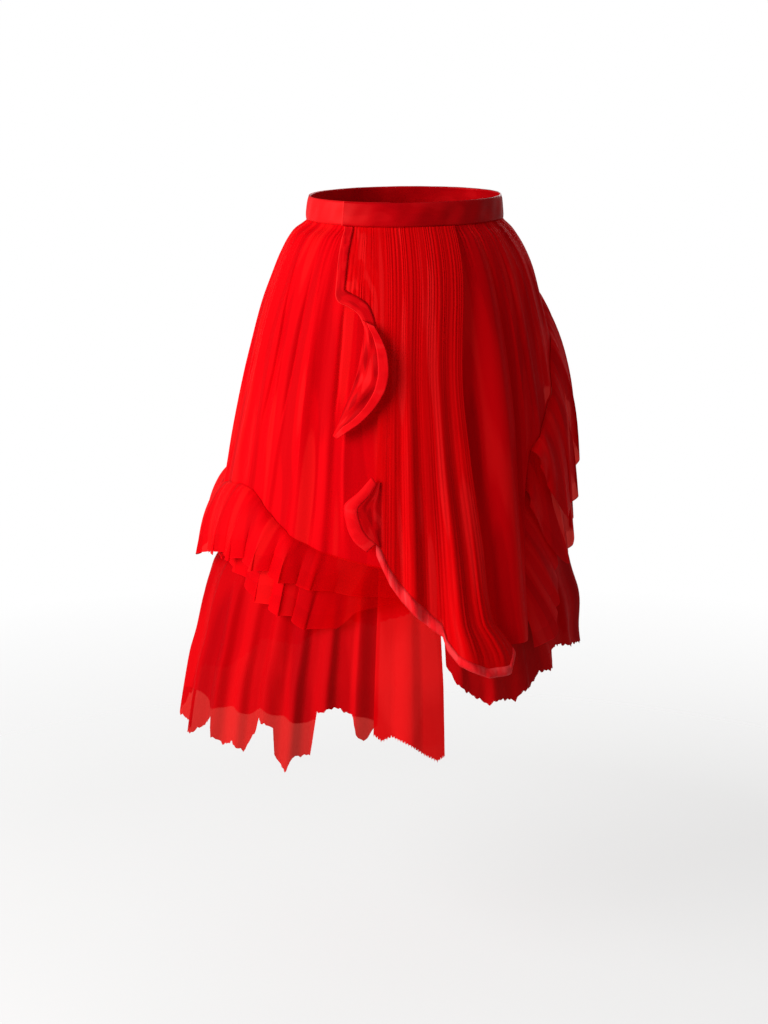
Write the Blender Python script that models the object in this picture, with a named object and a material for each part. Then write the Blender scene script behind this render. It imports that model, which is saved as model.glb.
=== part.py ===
# Wrap skirt of thin silk, filled out as worn, with nothing inside it.
# Metres, +Z up. The origin is the middle of the waist, at half the waistband's height.
# The front faces -Y. Round the waist, 0 degrees is the middle of the front and +90 is +X.
import math

import bpy
import numpy as np

mm = 0.001

# ---- driving sizes, in millimetres ----
bandHeight = 30.0
bandWall = 2.4
bandLap = 3.3  # how far the waistband's free end stands off the part it covers
clothWall = 1.2
seamGap = 0.3
edgeBandDepth = 12.0
hemBandDepths = ((0, 12), (0.27, 17), (0.3, 21), (0.6, 21), (0.7, 17), (0.78, 13), (1, 12))  # along the pleats: more where the hem slopes
pleatCount = 36
pleatDepthTop = 1.3
pleatDepthFoot = 4.4

bandFoot = -bandHeight / 2
clothTop = bandFoot - seamGap

# ---- seams round the body, in degrees ----
leftSeam = -97.7
rightSeam = 92.0
centreBack = 180.0
seamTurn = 0.08  # half of the gap at an upright seam

# The shape that the outer cloth hangs on, at each height.
skirtSections = (
    # height, half width left, half width right, front depth, back depth
    (20, 124, 124, 92, 92),
    (-15, 128, 128, 96, 96),
    (-31, 147, 142, 107, 112),
    (-57, 162, 158, 121, 128),
    (-84, 173, 169, 132, 140),
    (-123, 187, 179, 144, 154),
    (-190, 204, 194, 158, 172),
    (-270, 221, 206, 174, 190),
    (-369, 239, 212, 190, 206),
    (-463, 256, 219, 203, 218),
    (-533, 268, 231, 211, 225),
    (-604, 280, 238, 218, 230),
    (-675, 291, 243, 224, 235),
    (-740, 299, 247, 229, 240),
)

# Soft folds that the outer cloth hangs in, from the waist to 500 mm below it.
hangFolds = (
    # angle top, angle foot, half width top, half width foot (degrees), height top, height foot (mm)
    (-92, -94, 5, 6, 0.5, 9),
    (-78, -82, 5, 6, 0.6, 8),
    (-64, -69, 4, 5, 0.6, 9),
    (-53, -58, 3.5, 4, 0.5, 7),
    (-44, -45, 4, 5, 0.8, 11),
    (-34, -35, 3, 4, 0.5, 6),
    (28, 26, 7, 8.5, 0.8, 22),
    (47, 46, 4, 5, 0.6, 7),
    (60, 58, 5, 6, 0.6, 9),
    (74, 73, 5, 6, 0.6, 8),
    (88, 88, 5, 6, 0.5, 9),
    (103, 102, 6, 7, 0.6, 9),
    (119, 117, 6, 7, 0.6, 10),
    (136, 136, 6, 8, 0.6, 9),
    (152, 154, 6, 7, 0.6, 11),
    (169, 170, 6, 8, 0.6, 9),
    (-173, -171, 6, 7, 0.6, 10),
    (-157, -155, 6, 8, 0.6, 9),
    (-141, -142, 6, 7, 0.6, 11),
    (-125, -126, 6, 8, 0.6, 9),
    (-109, -110, 6, 7, 0.6, 10),
)

# Soft folds of the longer underskirt.
underFolds = (
    # angle top, angle foot, half width top, half width foot (degrees), height top, height foot (mm)
    (-90, -90, 5, 6, 0, 12),
    (-77, -78, 5, 6, 0, 15),
    (-66, -66, 4, 5, 0, 13),
    (-57, -57, 4, 4, 0, 9),
    (-48, -48, 4, 5, 0, 15),
    (-38, -39, 4, 4, 0, 12),
    (-30, -30, 3, 4, 0, 13),
    (-22, -22, 3, 3, 0, 9),
    (-7, -7, 4, 5, 0, 5),
    (8, 8, 4, 4, 0, 9),
    (18, 18, 4, 5, 0, 11),
    (30, 30, 4, 5, 0, 10),
    (42, 42, 4, 6, 0, 8),
    (57, 57, 5, 6, 0, 11),
    (73, 73, 5, 7, 0, 13),
    (90, 90, 6, 7, 0, 11),
    (106, 106, 6, 8, 0, 14),
    (124, 124, 6, 8, 0, 12),
    (142, 142, 6, 8, 0, 14),
    (160, 160, 6, 7, 0, 12),
    (177, 177, 6, 8, 0, 14),
    (-165, -165, 6, 7, 0, 12),
    (-148, -148, 6, 8, 0, 15),
    (-131, -131, 6, 7, 0, 12),
    (-114, -114, 6, 8, 0, 14),
    (-102, -102, 4, 4, 0, 9),
)

silkRed = (0.56, 0.015, 0.02, 1)
silkDeep = (0.38, 0.008, 0.012, 1)
silkLight = (0.72, 0.06, 0.06, 1)
satinRed = (0.62, 0.02, 0.025, 1)

sectionHeights = -np.array([row[0] for row in skirtSections], float)


def sectionSize(height, side):
    sizes = [row[side] for row in skirtSections]
    return np.interp(-height, sectionHeights, sizes)


def skin(angle, height, lift):
    """Points in mm at an angle and a height, lifted off the hanging shape."""
    turn = np.radians(angle)
    s, c = np.sin(turn), np.cos(turn)
    left, right, front, back = (sectionSize(height, side) for side in (1, 2, 3, 4))
    across = (left + right) / 2 + (right - left) / 2 * s
    deep = (front + back) / 2 + (front - back) / 2 * c
    nx, ny = s / across, -c / deep
    size = np.hypot(nx, ny)
    return np.stack([across * s + nx / size * lift, -deep * c + ny / size * lift, height], axis=-1)


def read(table, at, names=2):
    """The value columns of (share, value, ...) rows at the shares in at."""
    rows = np.array(table, float)
    return [np.interp(at, rows[:, 0], rows[:, k + 1]) for k in range(names)]


def shares(table, step):
    """Column places: every row of the table, and the spaces between filled to the given step."""
    rows = sorted({row[0] for row in table})
    out = []
    for low, high in zip(rows, rows[1:]):
        parts = max(1, math.ceil((high - low) / step - 1e-6))
        out += [low + (high - low) * i / parts for i in range(parts)]
    return np.array(out + [rows[-1]], float)


def fade(value, start, end):
    """0 before start, 1 after end, smooth between."""
    t = np.clip((value - start) / (end - start), 0, 1)
    return t * t * (3 - 2 * t)


def evenRows(count):
    return np.linspace(0, 1, count + 1)


def line(start, end):
    """A straight border between two (angle, height) corners."""
    return ((0, *start), (1, *end))


def patch(top, foot, left, right, u, v):
    """Angles and heights of a panel between four border tables of (share, angle, height) rows."""
    tops, feet, lefts, rights = read(top, u), read(foot, u), read(left, v), read(right, v)
    found = []
    for k in (0, 1):
        corners = (
            (1 - u) * (1 - v) * top[0][k + 1]
            + u * (1 - v) * top[-1][k + 1]
            + (1 - u) * v * foot[0][k + 1]
            + u * v * foot[-1][k + 1]
        )
        found.append((1 - v) * tops[k] + v * feet[k] + (1 - u) * lefts[k] + u * rights[k] - corners)
    return found


def foldLift(folds, angle, height):
    """How far the soft folds of a table stand out, in mm."""
    down = np.clip((clothTop - height) / 500, 0, 1.3)
    lift = np.zeros_like(angle)
    for angleTop, angleFoot, wideTop, wideFoot, highTop, highFoot in folds:
        centre = angleTop + (angleFoot - angleTop) * down
        wide = wideTop + (wideFoot - wideTop) * down
        high = highTop * np.clip(down * 12, 0, 1) + (highFoot - highTop) * down**0.7
        away = (angle - centre + 180) % 360 - 180
        near = np.clip(np.abs(away) / wide, 0, 1)
        lift = lift + high * (0.5 + 0.5 * np.cos(np.pi * near))
    return lift


def waves(share, count, phase):
    """Uneven gathers along a ruffle, from -1 to 1."""
    turn = 2 * np.pi * (count * share + phase)
    turn = turn + 0.7 * np.sin(2 * np.pi * (1.7 * share + phase)) + 0.4 * np.sin(2 * np.pi * 3.1 * share)
    return np.sin(turn) * (0.82 + 0.18 * np.sin(2 * np.pi * 2.3 * share + 2 * phase))


def facing(points):
    """The way a grid of points faces, at each of them."""
    out = np.cross(np.gradient(points, axis=0), np.gradient(points, axis=1))
    out[0, :, 2] = 0  # the top edge is cut level, so that it clears the seam above
    return out / np.linalg.norm(out, axis=-1, keepdims=True)


def closedWall(name, points, wall, colour, out=None):
    """A closed wall of even thickness round a grid of points in mm, rows down and columns across."""
    rows, columns = points.shape[:2]
    if out is None:
        out = facing(points)
    corners = np.concatenate([points + out * wall / 2, points - out * wall / 2]).reshape(-1, 3) * mm

    def at(row, col, side):
        return (side * rows + row) * columns + col

    faces = []
    for r in range(rows - 1):
        for c in range(columns - 1):
            # Both sides of a cell are cut along the same diagonal, so that a skewed cell can't cross itself.
            cell = ((r, c), (r + 1, c), (r + 1, c + 1)), ((r, c), (r + 1, c + 1), (r, c + 1))
            for corner in cell:
                faces.append([at(*place, 0) for place in corner])
                faces.append([at(*place, 1) for place in reversed(corner)])
    rim = [(0, c) for c in range(columns)] + [(r, columns - 1) for r in range(1, rows)]
    rim += [(rows - 1, c) for c in range(columns - 2, -1, -1)] + [(r, 0) for r in range(rows - 2, 0, -1)]
    for (r0, c0), (r1, c1) in zip(rim, rim[1:] + rim[:1]):
        faces.append((at(r0, c0, 0), at(r1, c1, 0), at(r1, c1, 1), at(r0, c0, 1)))
    mesh = bpy.data.meshes.new(name)
    mesh.from_pydata([tuple(p) for p in corners], [], faces)
    mesh.update()
    piece = bpy.data.objects.new(name, mesh)
    collection.objects.link(piece)
    material = bpy.data.materials.new(name + "_cloth")
    material.use_nodes = True
    shader = material.node_tree.nodes["Principled BSDF"]
    shader.inputs["Base Color"].default_value = colour
    shader.inputs["Roughness"].default_value = 0.5
    shader.inputs["Sheen Weight"].default_value = 0.4
    mesh.materials.append(material)
    return piece


def panel(name, top, foot, left, right, step, rows, lift, colour, wall=clothWall):
    """One cut piece between its four borders; lift(angle, height, u, v) gives mm off the hanging shape."""
    u, v = np.meshgrid(shares(foot, step), rows)
    angle, height = patch(top, foot, left, right, u, v)
    return closedWall(name, skin(angle, height, lift(angle, height, u, v)), wall, colour)


for old in list(bpy.data.objects):
    bpy.data.objects.remove(old)
collection = bpy.data.collections.new("wrap_skirt")
bpy.context.scene.collection.children.link(collection)


# ---- waistband: one strip that goes round and laps over its own end ----
lapStart, lapEnd = -46.0, -14.0
bandRound = (
    # angle along the strip, mm off the hanging shape
    (lapStart, bandLap),
    (lapEnd, bandLap),
    (4, 1.2),
    (20, 0),
    (lapEnd + 360, 0),
)
bandTurns = np.concatenate(
    [np.linspace(lapStart, 20, 12), np.linspace(28, 306, 33), np.linspace(lapStart + 360, lapEnd + 358, 6)]
)
bandTurn, bandLevel = np.meshgrid(bandTurns, np.linspace(bandHeight / 2, bandFoot, 4))
bandBow = 0.8 * (1 - (bandLevel / (bandHeight / 2)) ** 2)
bandLift = read(bandRound, bandTurn, 1)[0] + bandBow
closedWall("waistband", skin(bandTurn, bandLevel, bandLift), bandWall, satinRed)


# ---- wrap front panel: sunray pleats, shorter towards the free edge, with a bell at the end ----
wrapHem = (
    # share across, height of the hem
    (0.0, -88),
    (0.0833, -95),
    (0.1667, -104),
    (0.2222, -120),
    (0.25, -136),
    (0.2639, -250),
    (0.2778, -415),
    (0.37, -452),
    (0.444, -473),
    (0.548, -494),
    (0.641, -511),
    (0.70, -519),
    (0.72, -536),
    (0.76, -554),
    (0.867, -571),
    (0.957, -570),
    (1.0, -550),
)
pleatGuides = (
    # depth below the waist, then the distance right of the middle at five places across
    (15, -80, -52.5, -49, 9, 46),
    (60, -91, -55.3, -51.5, 9.5, 48),
    (100, -97, -57.7, -53.5, 7.5, 46),
    (140, -98, -60, -55.5, 4.5, 43),
    (200, -98, -62.5, -58.5, 2, 41),
    (300, -98, -71, -64, 4, 48),
    (412, -98, -78, -70, 9, 60),
    (470, -98, -80, -73, 11, 64),
    (500, -98, -81, -74.5, 12, 69),
    (524, -98, -81.5, -75.5, 13, 84),
    (545, -98, -82, -76, 14, 95),
    (570, -98, -82, -76, 15, 99),
)
guideShares = (0, 0.25, 0.2778, 0.7222, 1)
wrapStandoff = ((-clothTop, 2.4), (31, 4.6), (57, 7), (110, 10), (600, 11))  # depth below the waist, mm out
bellCentre, bellWide, bellHigh = 0.88, 0.22, 26.0
pleatSharpness = ((0, 1), (0.208, 1), (0.236, 0.1), (0.292, 0.1), (0.32, 1), (1, 1))  # flat behind the cascade


def wrapLevel(height):
    return read(wrapStandoff, -height, 1)[0]


def wrapLift(angle, height, u, v):
    """The wrap's stand-off, its pleats and the bell at the end of its hem."""
    side = np.where(np.arange(u.shape[1]) % 2 == 0, -0.5, 0.5)
    deep = pleatDepthTop + (pleatDepthFoot - pleatDepthTop) * v**0.8
    proud = 1 + 0.25 * np.sin(2 * np.pi * 5.3 * u) + 0.15 * np.sin(2 * np.pi * 11.1 * u + 1)
    near = np.clip(np.abs(u - bellCentre) / bellWide, 0, 1)
    bell = bellHigh * np.clip((v - 0.5) / 0.5, 0, 1) ** 1.4 * (0.5 + 0.5 * np.cos(np.pi * near))
    return wrapLevel(height) + side * deep * proud * read(pleatSharpness, u, 1)[0] + bell


pleatShares = np.linspace(0, 1, 2 * pleatCount + 1)
wrapRows = (0, 0.04, 0.11, 0.21, 0.34, 0.5, 0.66, 0.8, 0.91, 1.0)


def angleAt(across, height):
    """The angle at which the hanging shape is this far right of the middle of the front."""
    angle = np.zeros_like(across)
    for _ in range(6):
        left, right = sectionSize(height, 1), sectionSize(height, 2)
        half = (left + right) / 2 + (right - left) / 2 * np.sin(np.radians(angle))
        angle = np.degrees(np.arcsin(np.clip(across / half, -0.95, 0.95)))
    return angle


def wrapSheet(name, v, firstColumn, wall, colour):
    u = np.broadcast_to(pleatShares, v.shape)
    height = clothTop + v * (read(wrapHem, u, 1)[0] - clothTop)
    guides = read(pleatGuides, -height, len(guideShares))
    across = np.zeros_like(u)
    for k, (low, high) in enumerate(zip(guideShares, guideShares[1:])):
        part = np.clip((u - low) / (high - low), 0, 1)
        inside = (u >= low) & ((u < high) | (high == 1))
        across = np.where(inside, guides[k] + (guides[k + 1] - guides[k]) * part, across)
    angle = angleAt(across, height)
    lift = wrapLift(angle, height, u, v)
    u, angle, height, lift = (grid[:, firstColumn:] for grid in (u, angle, height, lift))
    points = skin(angle, height, lift)
    # Where the pleats are flat their rows are too skewed to tell which way they face.
    flat = read(pleatSharpness, u, 1)[0][..., None] < 0.8
    out = np.where(flat, skin(angle, height, lift + 1) - points, facing(points))
    closedWall(name, points, wall, colour, out)


hemLong = clothTop - read(wrapHem, pleatShares, 1)[0]
hemStart = 2 * round(guideShares[2] * pleatCount)  # the first column that reaches the hem
hasBand = np.arange(len(pleatShares)) >= hemStart
bandShare = np.where(hasBand, read(hemBandDepths, pleatShares, 1)[0] / hemLong, 0)
gapShare = np.where(hasBand, 3 * seamGap / hemLong, 0)
wrapSheet("wrap_front_panel", np.outer(wrapRows, 1 - bandShare - gapShare), 0, clothWall, silkRed)
bandRows = np.array([1 - bandShare, np.ones_like(bandShare)])
wrapSheet("wrap_hem_band", bandRows, hemStart, clothWall + 0.1, satinRed)


# ---- binding down the first part of the wrap's free edge ----
def onWrap(angle, height, u, v):
    return wrapLevel(height)


bandPath = (
    # share along, angle and height of the free edge, angle and height of the sewn edge
    (0, -44.2, clothTop - 0.4, -39.2, clothTop - 0.4),
    (0.2, -40.5, -31, -35.9, -31),
    (0.4, -38.9, -52, -34.9, -52),
    (0.55, -37.7, -73, -34.2, -73),
    (0.66, -36.7, -96, -33.8, -89.4),
    (0.72, -35.0, -104, -32.0, -93.2),
    (0.80, -30.7, -109, -28.4, -97.3),
    (0.90, -26.2, -118, -23.4, -106.8),
    (0.95, -24.2, -129, -20.7, -123.0),
    (1, -22.6, -141, -19.6, -137.6),
)
panel(
    "top_edge_band",
    top=tuple((row[0], row[1], row[2]) for row in bandPath),
    foot=tuple((row[0], row[3], row[4]) for row in bandPath),
    left=line(bandPath[0][1:3], bandPath[0][3:5]),
    right=line(bandPath[-1][1:3], bandPath[-1][3:5]),
    step=0.1,
    rows=(0, 1),
    lift=onWrap,
    colour=satinRed,
)


# ---- cascade: the free edge turns outwards and hangs as a leaf, bound along its edge ----
leafRows = (
    # share down, angle and height of the fold line, angle and height of the bound edge, lift of the edge
    (0.0, -24.2, -124, -19.6, -130, 19),
    (0.14, -23.4, -138, -16.4, -148, 22),
    (0.28, -23.9, -161, -14.5, -166, 24),
    (0.42, -24.8, -185, -14.0, -186, 25),
    (0.56, -26.2, -204, -14.8, -204, 25),
    (0.70, -27.9, -224, -17.4, -224, 24),
    (0.84, -29.8, -245, -22.2, -246, 22),
    (0.94, -31.2, -258, -27.3, -261, 20),
    (1.0, -32.0, -266, -30.2, -269, 19),
)
leafAcross = (
    # share across, share of the way from the fold to the bound edge, share of the lift
    (0.0, 0.62, 0.0),
    (0.2, 0.34, 0.02),
    (0.36, 0.10, 0.08),
    (0.46, 0.0, 0.30),
    (0.56, 0.10, 0.58),
    (0.74, 0.42, 0.92),
    (1.0, 1.0, 1.0),
)


def leafPoints(down, across):
    foldAngle, foldHeight, edgeAngle, edgeHeight, lift = read(leafRows, down, 5)
    way, out = read(leafAcross, across, 2)
    angle = foldAngle + (edgeAngle - foldAngle) * way
    height = foldHeight + (edgeHeight - foldHeight) * way
    rest = wrapLevel(height) + 1.7
    return skin(angle, height, rest + (lift - rest) * out)


leafDown = np.array([row[0] for row in leafRows])
leafWide = np.linalg.norm(leafPoints(leafDown, 1.0) - leafPoints(leafDown, 0.56), axis=-1)
edgeAt = 1 - np.clip(edgeBandDepth / leafWide, 0, 0.62) * 0.44
clothShares = np.array([0, 0.2, 0.36, 0.46, 0.56, 0.68, 0.84, 1.0])
leafCloth = clothShares[None, :] * (edgeAt - 2 * seamGap / leafWide * 0.44)[:, None]
leafCloth[:, :5] = clothShares[:5]
leafCloth[:, 5] = (leafCloth[:, 4] * 2 + leafCloth[:, 7]) / 3
leafCloth[:, 6] = (leafCloth[:, 4] + leafCloth[:, 7] * 2) / 3
closedWall("upper_cascade_fold", leafPoints(leafDown[:, None], leafCloth), clothWall, silkLight)
bindingShares = edgeAt[:, None] + (1 - edgeAt)[:, None] * np.array([0, 0.5, 1.0])[None, :]
closedWall("upper_cascade_binding", leafPoints(leafDown[:, None], bindingShares), clothWall, satinRed)


# ---- the second, smaller leaf ----
lowerLeafCurl = ((0, 0.62), (0.12, 0.9), (0.27, 1), (0.45, 0.78), (0.7, 0.36), (1, 0))  # share across, share of the lift


def onLeaf(angle, height, u, v):
    return wrapLevel(height) + 1.7 + 12 * read(lowerLeafCurl, u, 1)[0] * np.sin(np.pi * np.clip(0.12 + 0.8 * v, 0, 1))


lowerEdge = ((0, -19.0, -316), (0.16, -22.5, -333), (0.38, -27.0, -353), (0.6, -26.2, -374), (0.82, -24.0, -395), (1, -20.0, -410))
lowerInside = ((0, -17.4, -323), (0.16, -19.2, -337), (0.38, -22.7, -356), (0.6, -21.9, -372), (0.82, -20.0, -388), (1, -17.4, -399))
panel(
    "lower_cascade_fold",
    top=line((-17.2, -323), (-16.0, -323)),
    foot=line((-17.2, -399), (-15.8, -405)),
    left=tuple((row[0], row[1] + 0.2, row[2]) for row in lowerInside),
    right=line((-16.0, -323), (-15.8, -405)),
    step=0.34,
    rows=evenRows(7),
    lift=lambda angle, height, u, v: onLeaf(angle, height, 0.45 + 0.55 * u, v),
    colour=silkLight,
)
panel(
    "lower_cascade_binding",
    top=line(lowerEdge[0][1:], lowerInside[0][1:]),
    foot=line(lowerEdge[-1][1:], lowerInside[-1][1:]),
    left=lowerEdge,
    right=lowerInside,
    step=0.27,
    rows=evenRows(7),
    lift=lambda angle, height, u, v: onLeaf(angle, height, 0.45 * u, v),
    colour=satinRed,
)


# ---- outer panels ----
panelRows = (0, 0.06, 0.14, 0.25, 0.4, 0.6, 0.8, 1)
shortRows = (0, 0.12, 0.28, 0.5, 0.75, 1)


def outer(angle, height, u, v):
    return foldLift(hangFolds, angle, height)


leftTierSeam = (
    # share across, angle, height
    (0, leftSeam + seamTurn, -365),
    (0.17, -84, -352),
    (0.33, -69, -347),
    (0.43, -60.5, -360),
    (0.55, -50, -389),
    (0.63, -43, -402),
    (0.71, -36, -413),
    (0.82, -26, -423),
    (1, -10, -436),
)
panel(
    "left_front_panel",
    top=line((leftSeam + seamTurn, clothTop), (-10, clothTop)),
    foot=leftTierSeam,
    left=line((leftSeam + seamTurn, clothTop), leftTierSeam[0][1:]),
    right=line((-10, clothTop), leftTierSeam[-1][1:]),
    step=0.034,
    rows=panelRows,
    lift=outer,
    colour=silkRed,
)

rightSeamPath = (
    # share across, angle, height
    (0, 5, -535),
    (0.28, 30, -535),
    (0.35, 32.8, -510),
    (0.42, 35, -420),
    (0.48, 37, -350),
    (0.55, 41, -300),
    (0.62, 48, -278),
    (0.72, 59, -236),
    (0.86, 75, -165),
    (1, rightSeam - seamTurn, -113),
)
panel(
    "right_front_panel",
    top=line((5, clothTop), (rightSeam - seamTurn, clothTop)),
    foot=rightSeamPath,
    left=line((5, clothTop), (5, -535)),
    right=line((rightSeam - seamTurn, clothTop), rightSeamPath[-1][1:]),
    step=0.032,
    rows=panelRows,
    lift=outer,
    colour=silkDeep,
)

backRightSeamPath = ((0, rightSeam + seamTurn, -113), (0.3, 118, -148), (0.65, 149, -195), (1, centreBack - seamTurn, -240))
panel(
    "back_right_panel",
    top=line((rightSeam + seamTurn, clothTop), (centreBack - seamTurn, clothTop)),
    foot=backRightSeamPath,
    left=line((rightSeam + seamTurn, clothTop), backRightSeamPath[0][1:]),
    right=line((centreBack - seamTurn, clothTop), backRightSeamPath[-1][1:]),
    step=0.034,
    rows=shortRows,
    lift=outer,
    colour=silkDeep,
)
backLeftSeamPath = (
    (0, -centreBack + seamTurn, -240),
    (0.35, -151, -285),
    (0.7, -122, -335),
    (1, leftSeam - seamTurn, -365),
)
panel(
    "back_left_panel",
    top=line((-centreBack + seamTurn, clothTop), (leftSeam - seamTurn, clothTop)),
    foot=backLeftSeamPath,
    left=line((-centreBack + seamTurn, clothTop), backLeftSeamPath[0][1:]),
    right=line((leftSeam - seamTurn, clothTop), backLeftSeamPath[-1][1:]),
    step=0.034,
    rows=panelRows,
    lift=outer,
    colour=silkDeep,
)


# ---- ruffles set into the slanting seam ----
wholeRuffle = ((0, 1), (1, 1))
tuckedRuffle = ((0, 1), (0.45, 1), (0.65, 0.65), (0.8, 0.4), (0.9, 0.22), (1, 0.12))  # flat again where it goes under the wrap


def ruffle(name, seam, hem, startLift, endLift, high, count, phase, columns, rows, colour, fullness=wholeRuffle):
    """A gathered strip under a seam. It leaves the seam flat and waves more towards its hem."""
    top = tuple((share, angle, height - 2 * seamGap) for share, angle, height in seam)

    def lift(angle, height, u, v):
        seamHeight = read(top, u)[1]
        seamAngle = read(top, u)[0]
        base = foldLift(hangFolds, seamAngle, seamHeight)
        ends = fade(u, 0, 0.1) * (1 - fade(u, 0.9, 1))  # the waves die out where the next strip is joined on
        full = (endLift - startLift) * (v**0.5 + 0.3 * np.sin(np.pi * v**0.8)) + high * v * waves(u, count, phase) * ends
        return base + startLift + full * read(fullness, u, 1)[0]

    panel(name, top, hem, line(top[0][1:], hem[0][1:]), line(top[-1][1:], hem[-1][1:]), 1 / columns, evenRows(rows), lift, colour)


leftTierHem = (
    # share across, angle, height
    (0, leftSeam + seamTurn, -462),
    (0.12, -88, -452),
    (0.3, -73, -436),
    (0.43, -63, -437),
    (0.55, -53, -446),
    (0.66, -43, -457),
    (0.76, -35, -462),
    (0.88, -25, -467),
    (1, -12, -470),
)
ruffle("left_tier_upper", leftTierSeam, leftTierHem, 0.9, 20, 6, 8, 0.1, 36, 4, silkRed, tuckedRuffle)
leftUnderHem = (
    (0, leftSeam + seamTurn, -456),
    (0.3, -73, -444),
    (0.4, -66, -455),
    (0.47, -60, -474),
    (0.57, -51, -494),
    (0.66, -44, -502),
    (0.74, -38, -514),
    (0.84, -28.5, -513),
    (0.90, -24, -492),
    (1, -12, -478),
)
ruffle("left_tier_lower", leftTierSeam, leftUnderHem, -1.9, 7, 4, 8, 0.1, 36, 3, silkDeep, tuckedRuffle)

backLeftHem = ((0, -centreBack + seamTurn, -336), (0.35, -151, -382), (0.7, -122, -430), (1, leftSeam - seamTurn, -462))
ruffle("back_ruffle_left", backLeftSeamPath, backLeftHem, 0.6, 19, 7, 6, 0.35, 32, 4, silkDeep)
backRightHem = ((0, rightSeam + seamTurn, -258), (0.3, 118, -262), (0.65, 149, -293), (1, centreBack - seamTurn, -336))
ruffle("back_ruffle_right", backRightSeamPath, backRightHem, 0.6, 18, 7, 6, 0.6, 32, 4, silkDeep)

rightSideSeam = ((0, 41, -300), (0.14, 48, -278), (0.35, 59, -236), (0.67, 75, -165), (1, rightSeam - seamTurn, -113))
rightUpperHem = (
    (0, 40.5, -318),
    (0.1, 46, -352),
    (0.22, 55, -394),
    (0.4, 66, -372),
    (0.6, 76, -330),
    (0.8, 85, -282),
    (1, rightSeam - seamTurn, -258),
)
ruffle("right_ruffle_upper", rightSideSeam, rightUpperHem, 0.9, 17, 5, 5, 0.2, 28, 4, silkRed)
rightLowerSeam = ((0, 37.6, -350), (0.12, 41.5, -300), (0.26, 48, -278), (0.45, 59, -236), (0.72, 75, -165), (1, rightSeam - seamTurn, -113))
rightLowerHem = (
    (0, 36.5, -368),
    (0.1, 46, -420),
    (0.2, 56, -456),
    (0.4, 67, -440),
    (0.6, 77, -410),
    (0.8, 85, -378),
    (1, rightSeam - seamTurn, -352),
)
ruffle("right_ruffle_lower", rightLowerSeam, rightLowerHem, -2.2, 8, 3.5, 5, 0.2, 30, 4, silkDeep)
rightEndSeam = ((0, 32.8, -510), (0.4, 35, -420), (0.75, 37, -350), (1, 40.6, -301))
rightEndHem = ((0, 34, -552), (0.14, 45, -551), (0.34, 49, -520), (0.6, 53, -470), (0.8, 54, -430), (1, 50, -385))
ruffle("right_ruffle_end", rightEndSeam, rightEndHem, -4.6, 2, 2, 4, 0.3, 20, 3, silkDeep)


# ---- underskirt, longer than the rest, with a ragged handkerchief hem ----
underStandoff = ((-clothTop, -1.7), (45, -7), (110, -14), (200, -19), (460, -18), (520, -12), (555, -8), (590, -3), (700, -2))


def under(angle, height, u, v):
    free = np.clip((-height - 400) / 200, 0, 1)
    folds = foldLift(underFolds, angle, height)
    angleSide = fade(np.abs(angle), 45, 75)
    left = 15 * fade(-height, 430, 480) - 6 * fade(-height, 500, 590)
    right = 16 * fade(-height, 380, 470) - 19 * fade(-height, 500, 590)
    leftShare = 0.5 - 0.5 * np.sin(np.radians(angle))
    spread = angleSide * (leftShare * left + (1 - leftShare) * right)
    return read(underStandoff, -height, 1)[0] + folds * (0.35 + 0.65 * free) + spread


slitLeft, slitRight = -17.0, 3.0
leftUnderskirtHem = (
    # share across, angle, height
    (0, leftSeam + seamTurn, -664),
    (0.07, -92, -672),
    (0.17, -84, -681),
    (0.27, -76, -684),
    (0.33, -71.3, -667),
    (0.38, -67, -652),
    (0.395, -65.8, -676),
    (0.437, -62.5, -686),
    (0.487, -58.5, -677),
    (0.53, -55, -688),
    (0.57, -51.8, -661),
    (0.587, -50.4, -640),
    (0.655, -45.2, -647),
    (0.665, -44.4, -686),
    (0.71, -40.5, -704),
    (0.735, -38.5, -683),
    (0.79, -34.1, -679),
    (0.81, -32.6, -622),
    (0.865, -28, -614),
    (0.935, -22.5, -624),
    (0.952, -21.6, -648),
    (0.97, -20, -656),
    (1, slitLeft - 0.25, -634),
)
apronHem = (
    # share across, angle, height
    (0, slitLeft, -648),
    (0.12, -14.8, -656),
    (0.25, -12.0, -650),
    (0.5, -7.0, -661),
    (0.7, -3.1, -675),
    (0.88, 0.5, -684),
    (1, 2.6, -678),
)
rightUnderskirtHem = (
    # share across, angle, height
    (0, slitRight + 0.7, -562),
    (0.03, 6.4, -584),
    (0.07, 9.6, -597),
    (0.11, 13, -607),
    (0.145, 16.4, -616),
    (0.17, 18.6, -610),
    (0.25, 26, -617),
    (0.28, 28.6, -605),
    (0.33, 32.8, -604),
    (0.38, 37.2, -588),
    (0.455, 43.8, -589),
    (0.49, 46.8, -566),
    (0.54, 51.2, -565),
    (0.66, 62, -577),
    (0.8, 75, -584),
    (0.9, 83, -574),
    (1, rightSeam - seamTurn, -590),
)
backRightUnderHem = (
    (0, rightSeam + seamTurn, -590),
    (0.12, 102, -610),
    (0.25, 114, -592),
    (0.4, 127, -622),
    (0.55, 140, -604),
    (0.72, 155, -634),
    (0.86, 168, -618),
    (1, centreBack - seamTurn, -640),
)
backLeftUnderHem = (
    (0, -centreBack + seamTurn, -640),
    (0.14, -169, -622),
    (0.3, -155, -655),
    (0.45, -143, -636),
    (0.6, -131, -668),
    (0.75, -118, -645),
    (0.9, -106, -668),
    (1, leftSeam - seamTurn, -664),
)


underRows = (0, 0.05, 0.12, 0.22, 0.4, 0.62, 0.81, 1)


def underskirt(name, start, end, hem, step, colour):
    panel(
        name,
        top=line((start, clothTop), (end, clothTop)),
        foot=hem,
        left=line((start, clothTop), hem[0][1:]),
        right=line((end, clothTop), hem[-1][1:]),
        step=step,
        rows=underRows,
        lift=under,
        colour=colour,
    )


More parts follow.
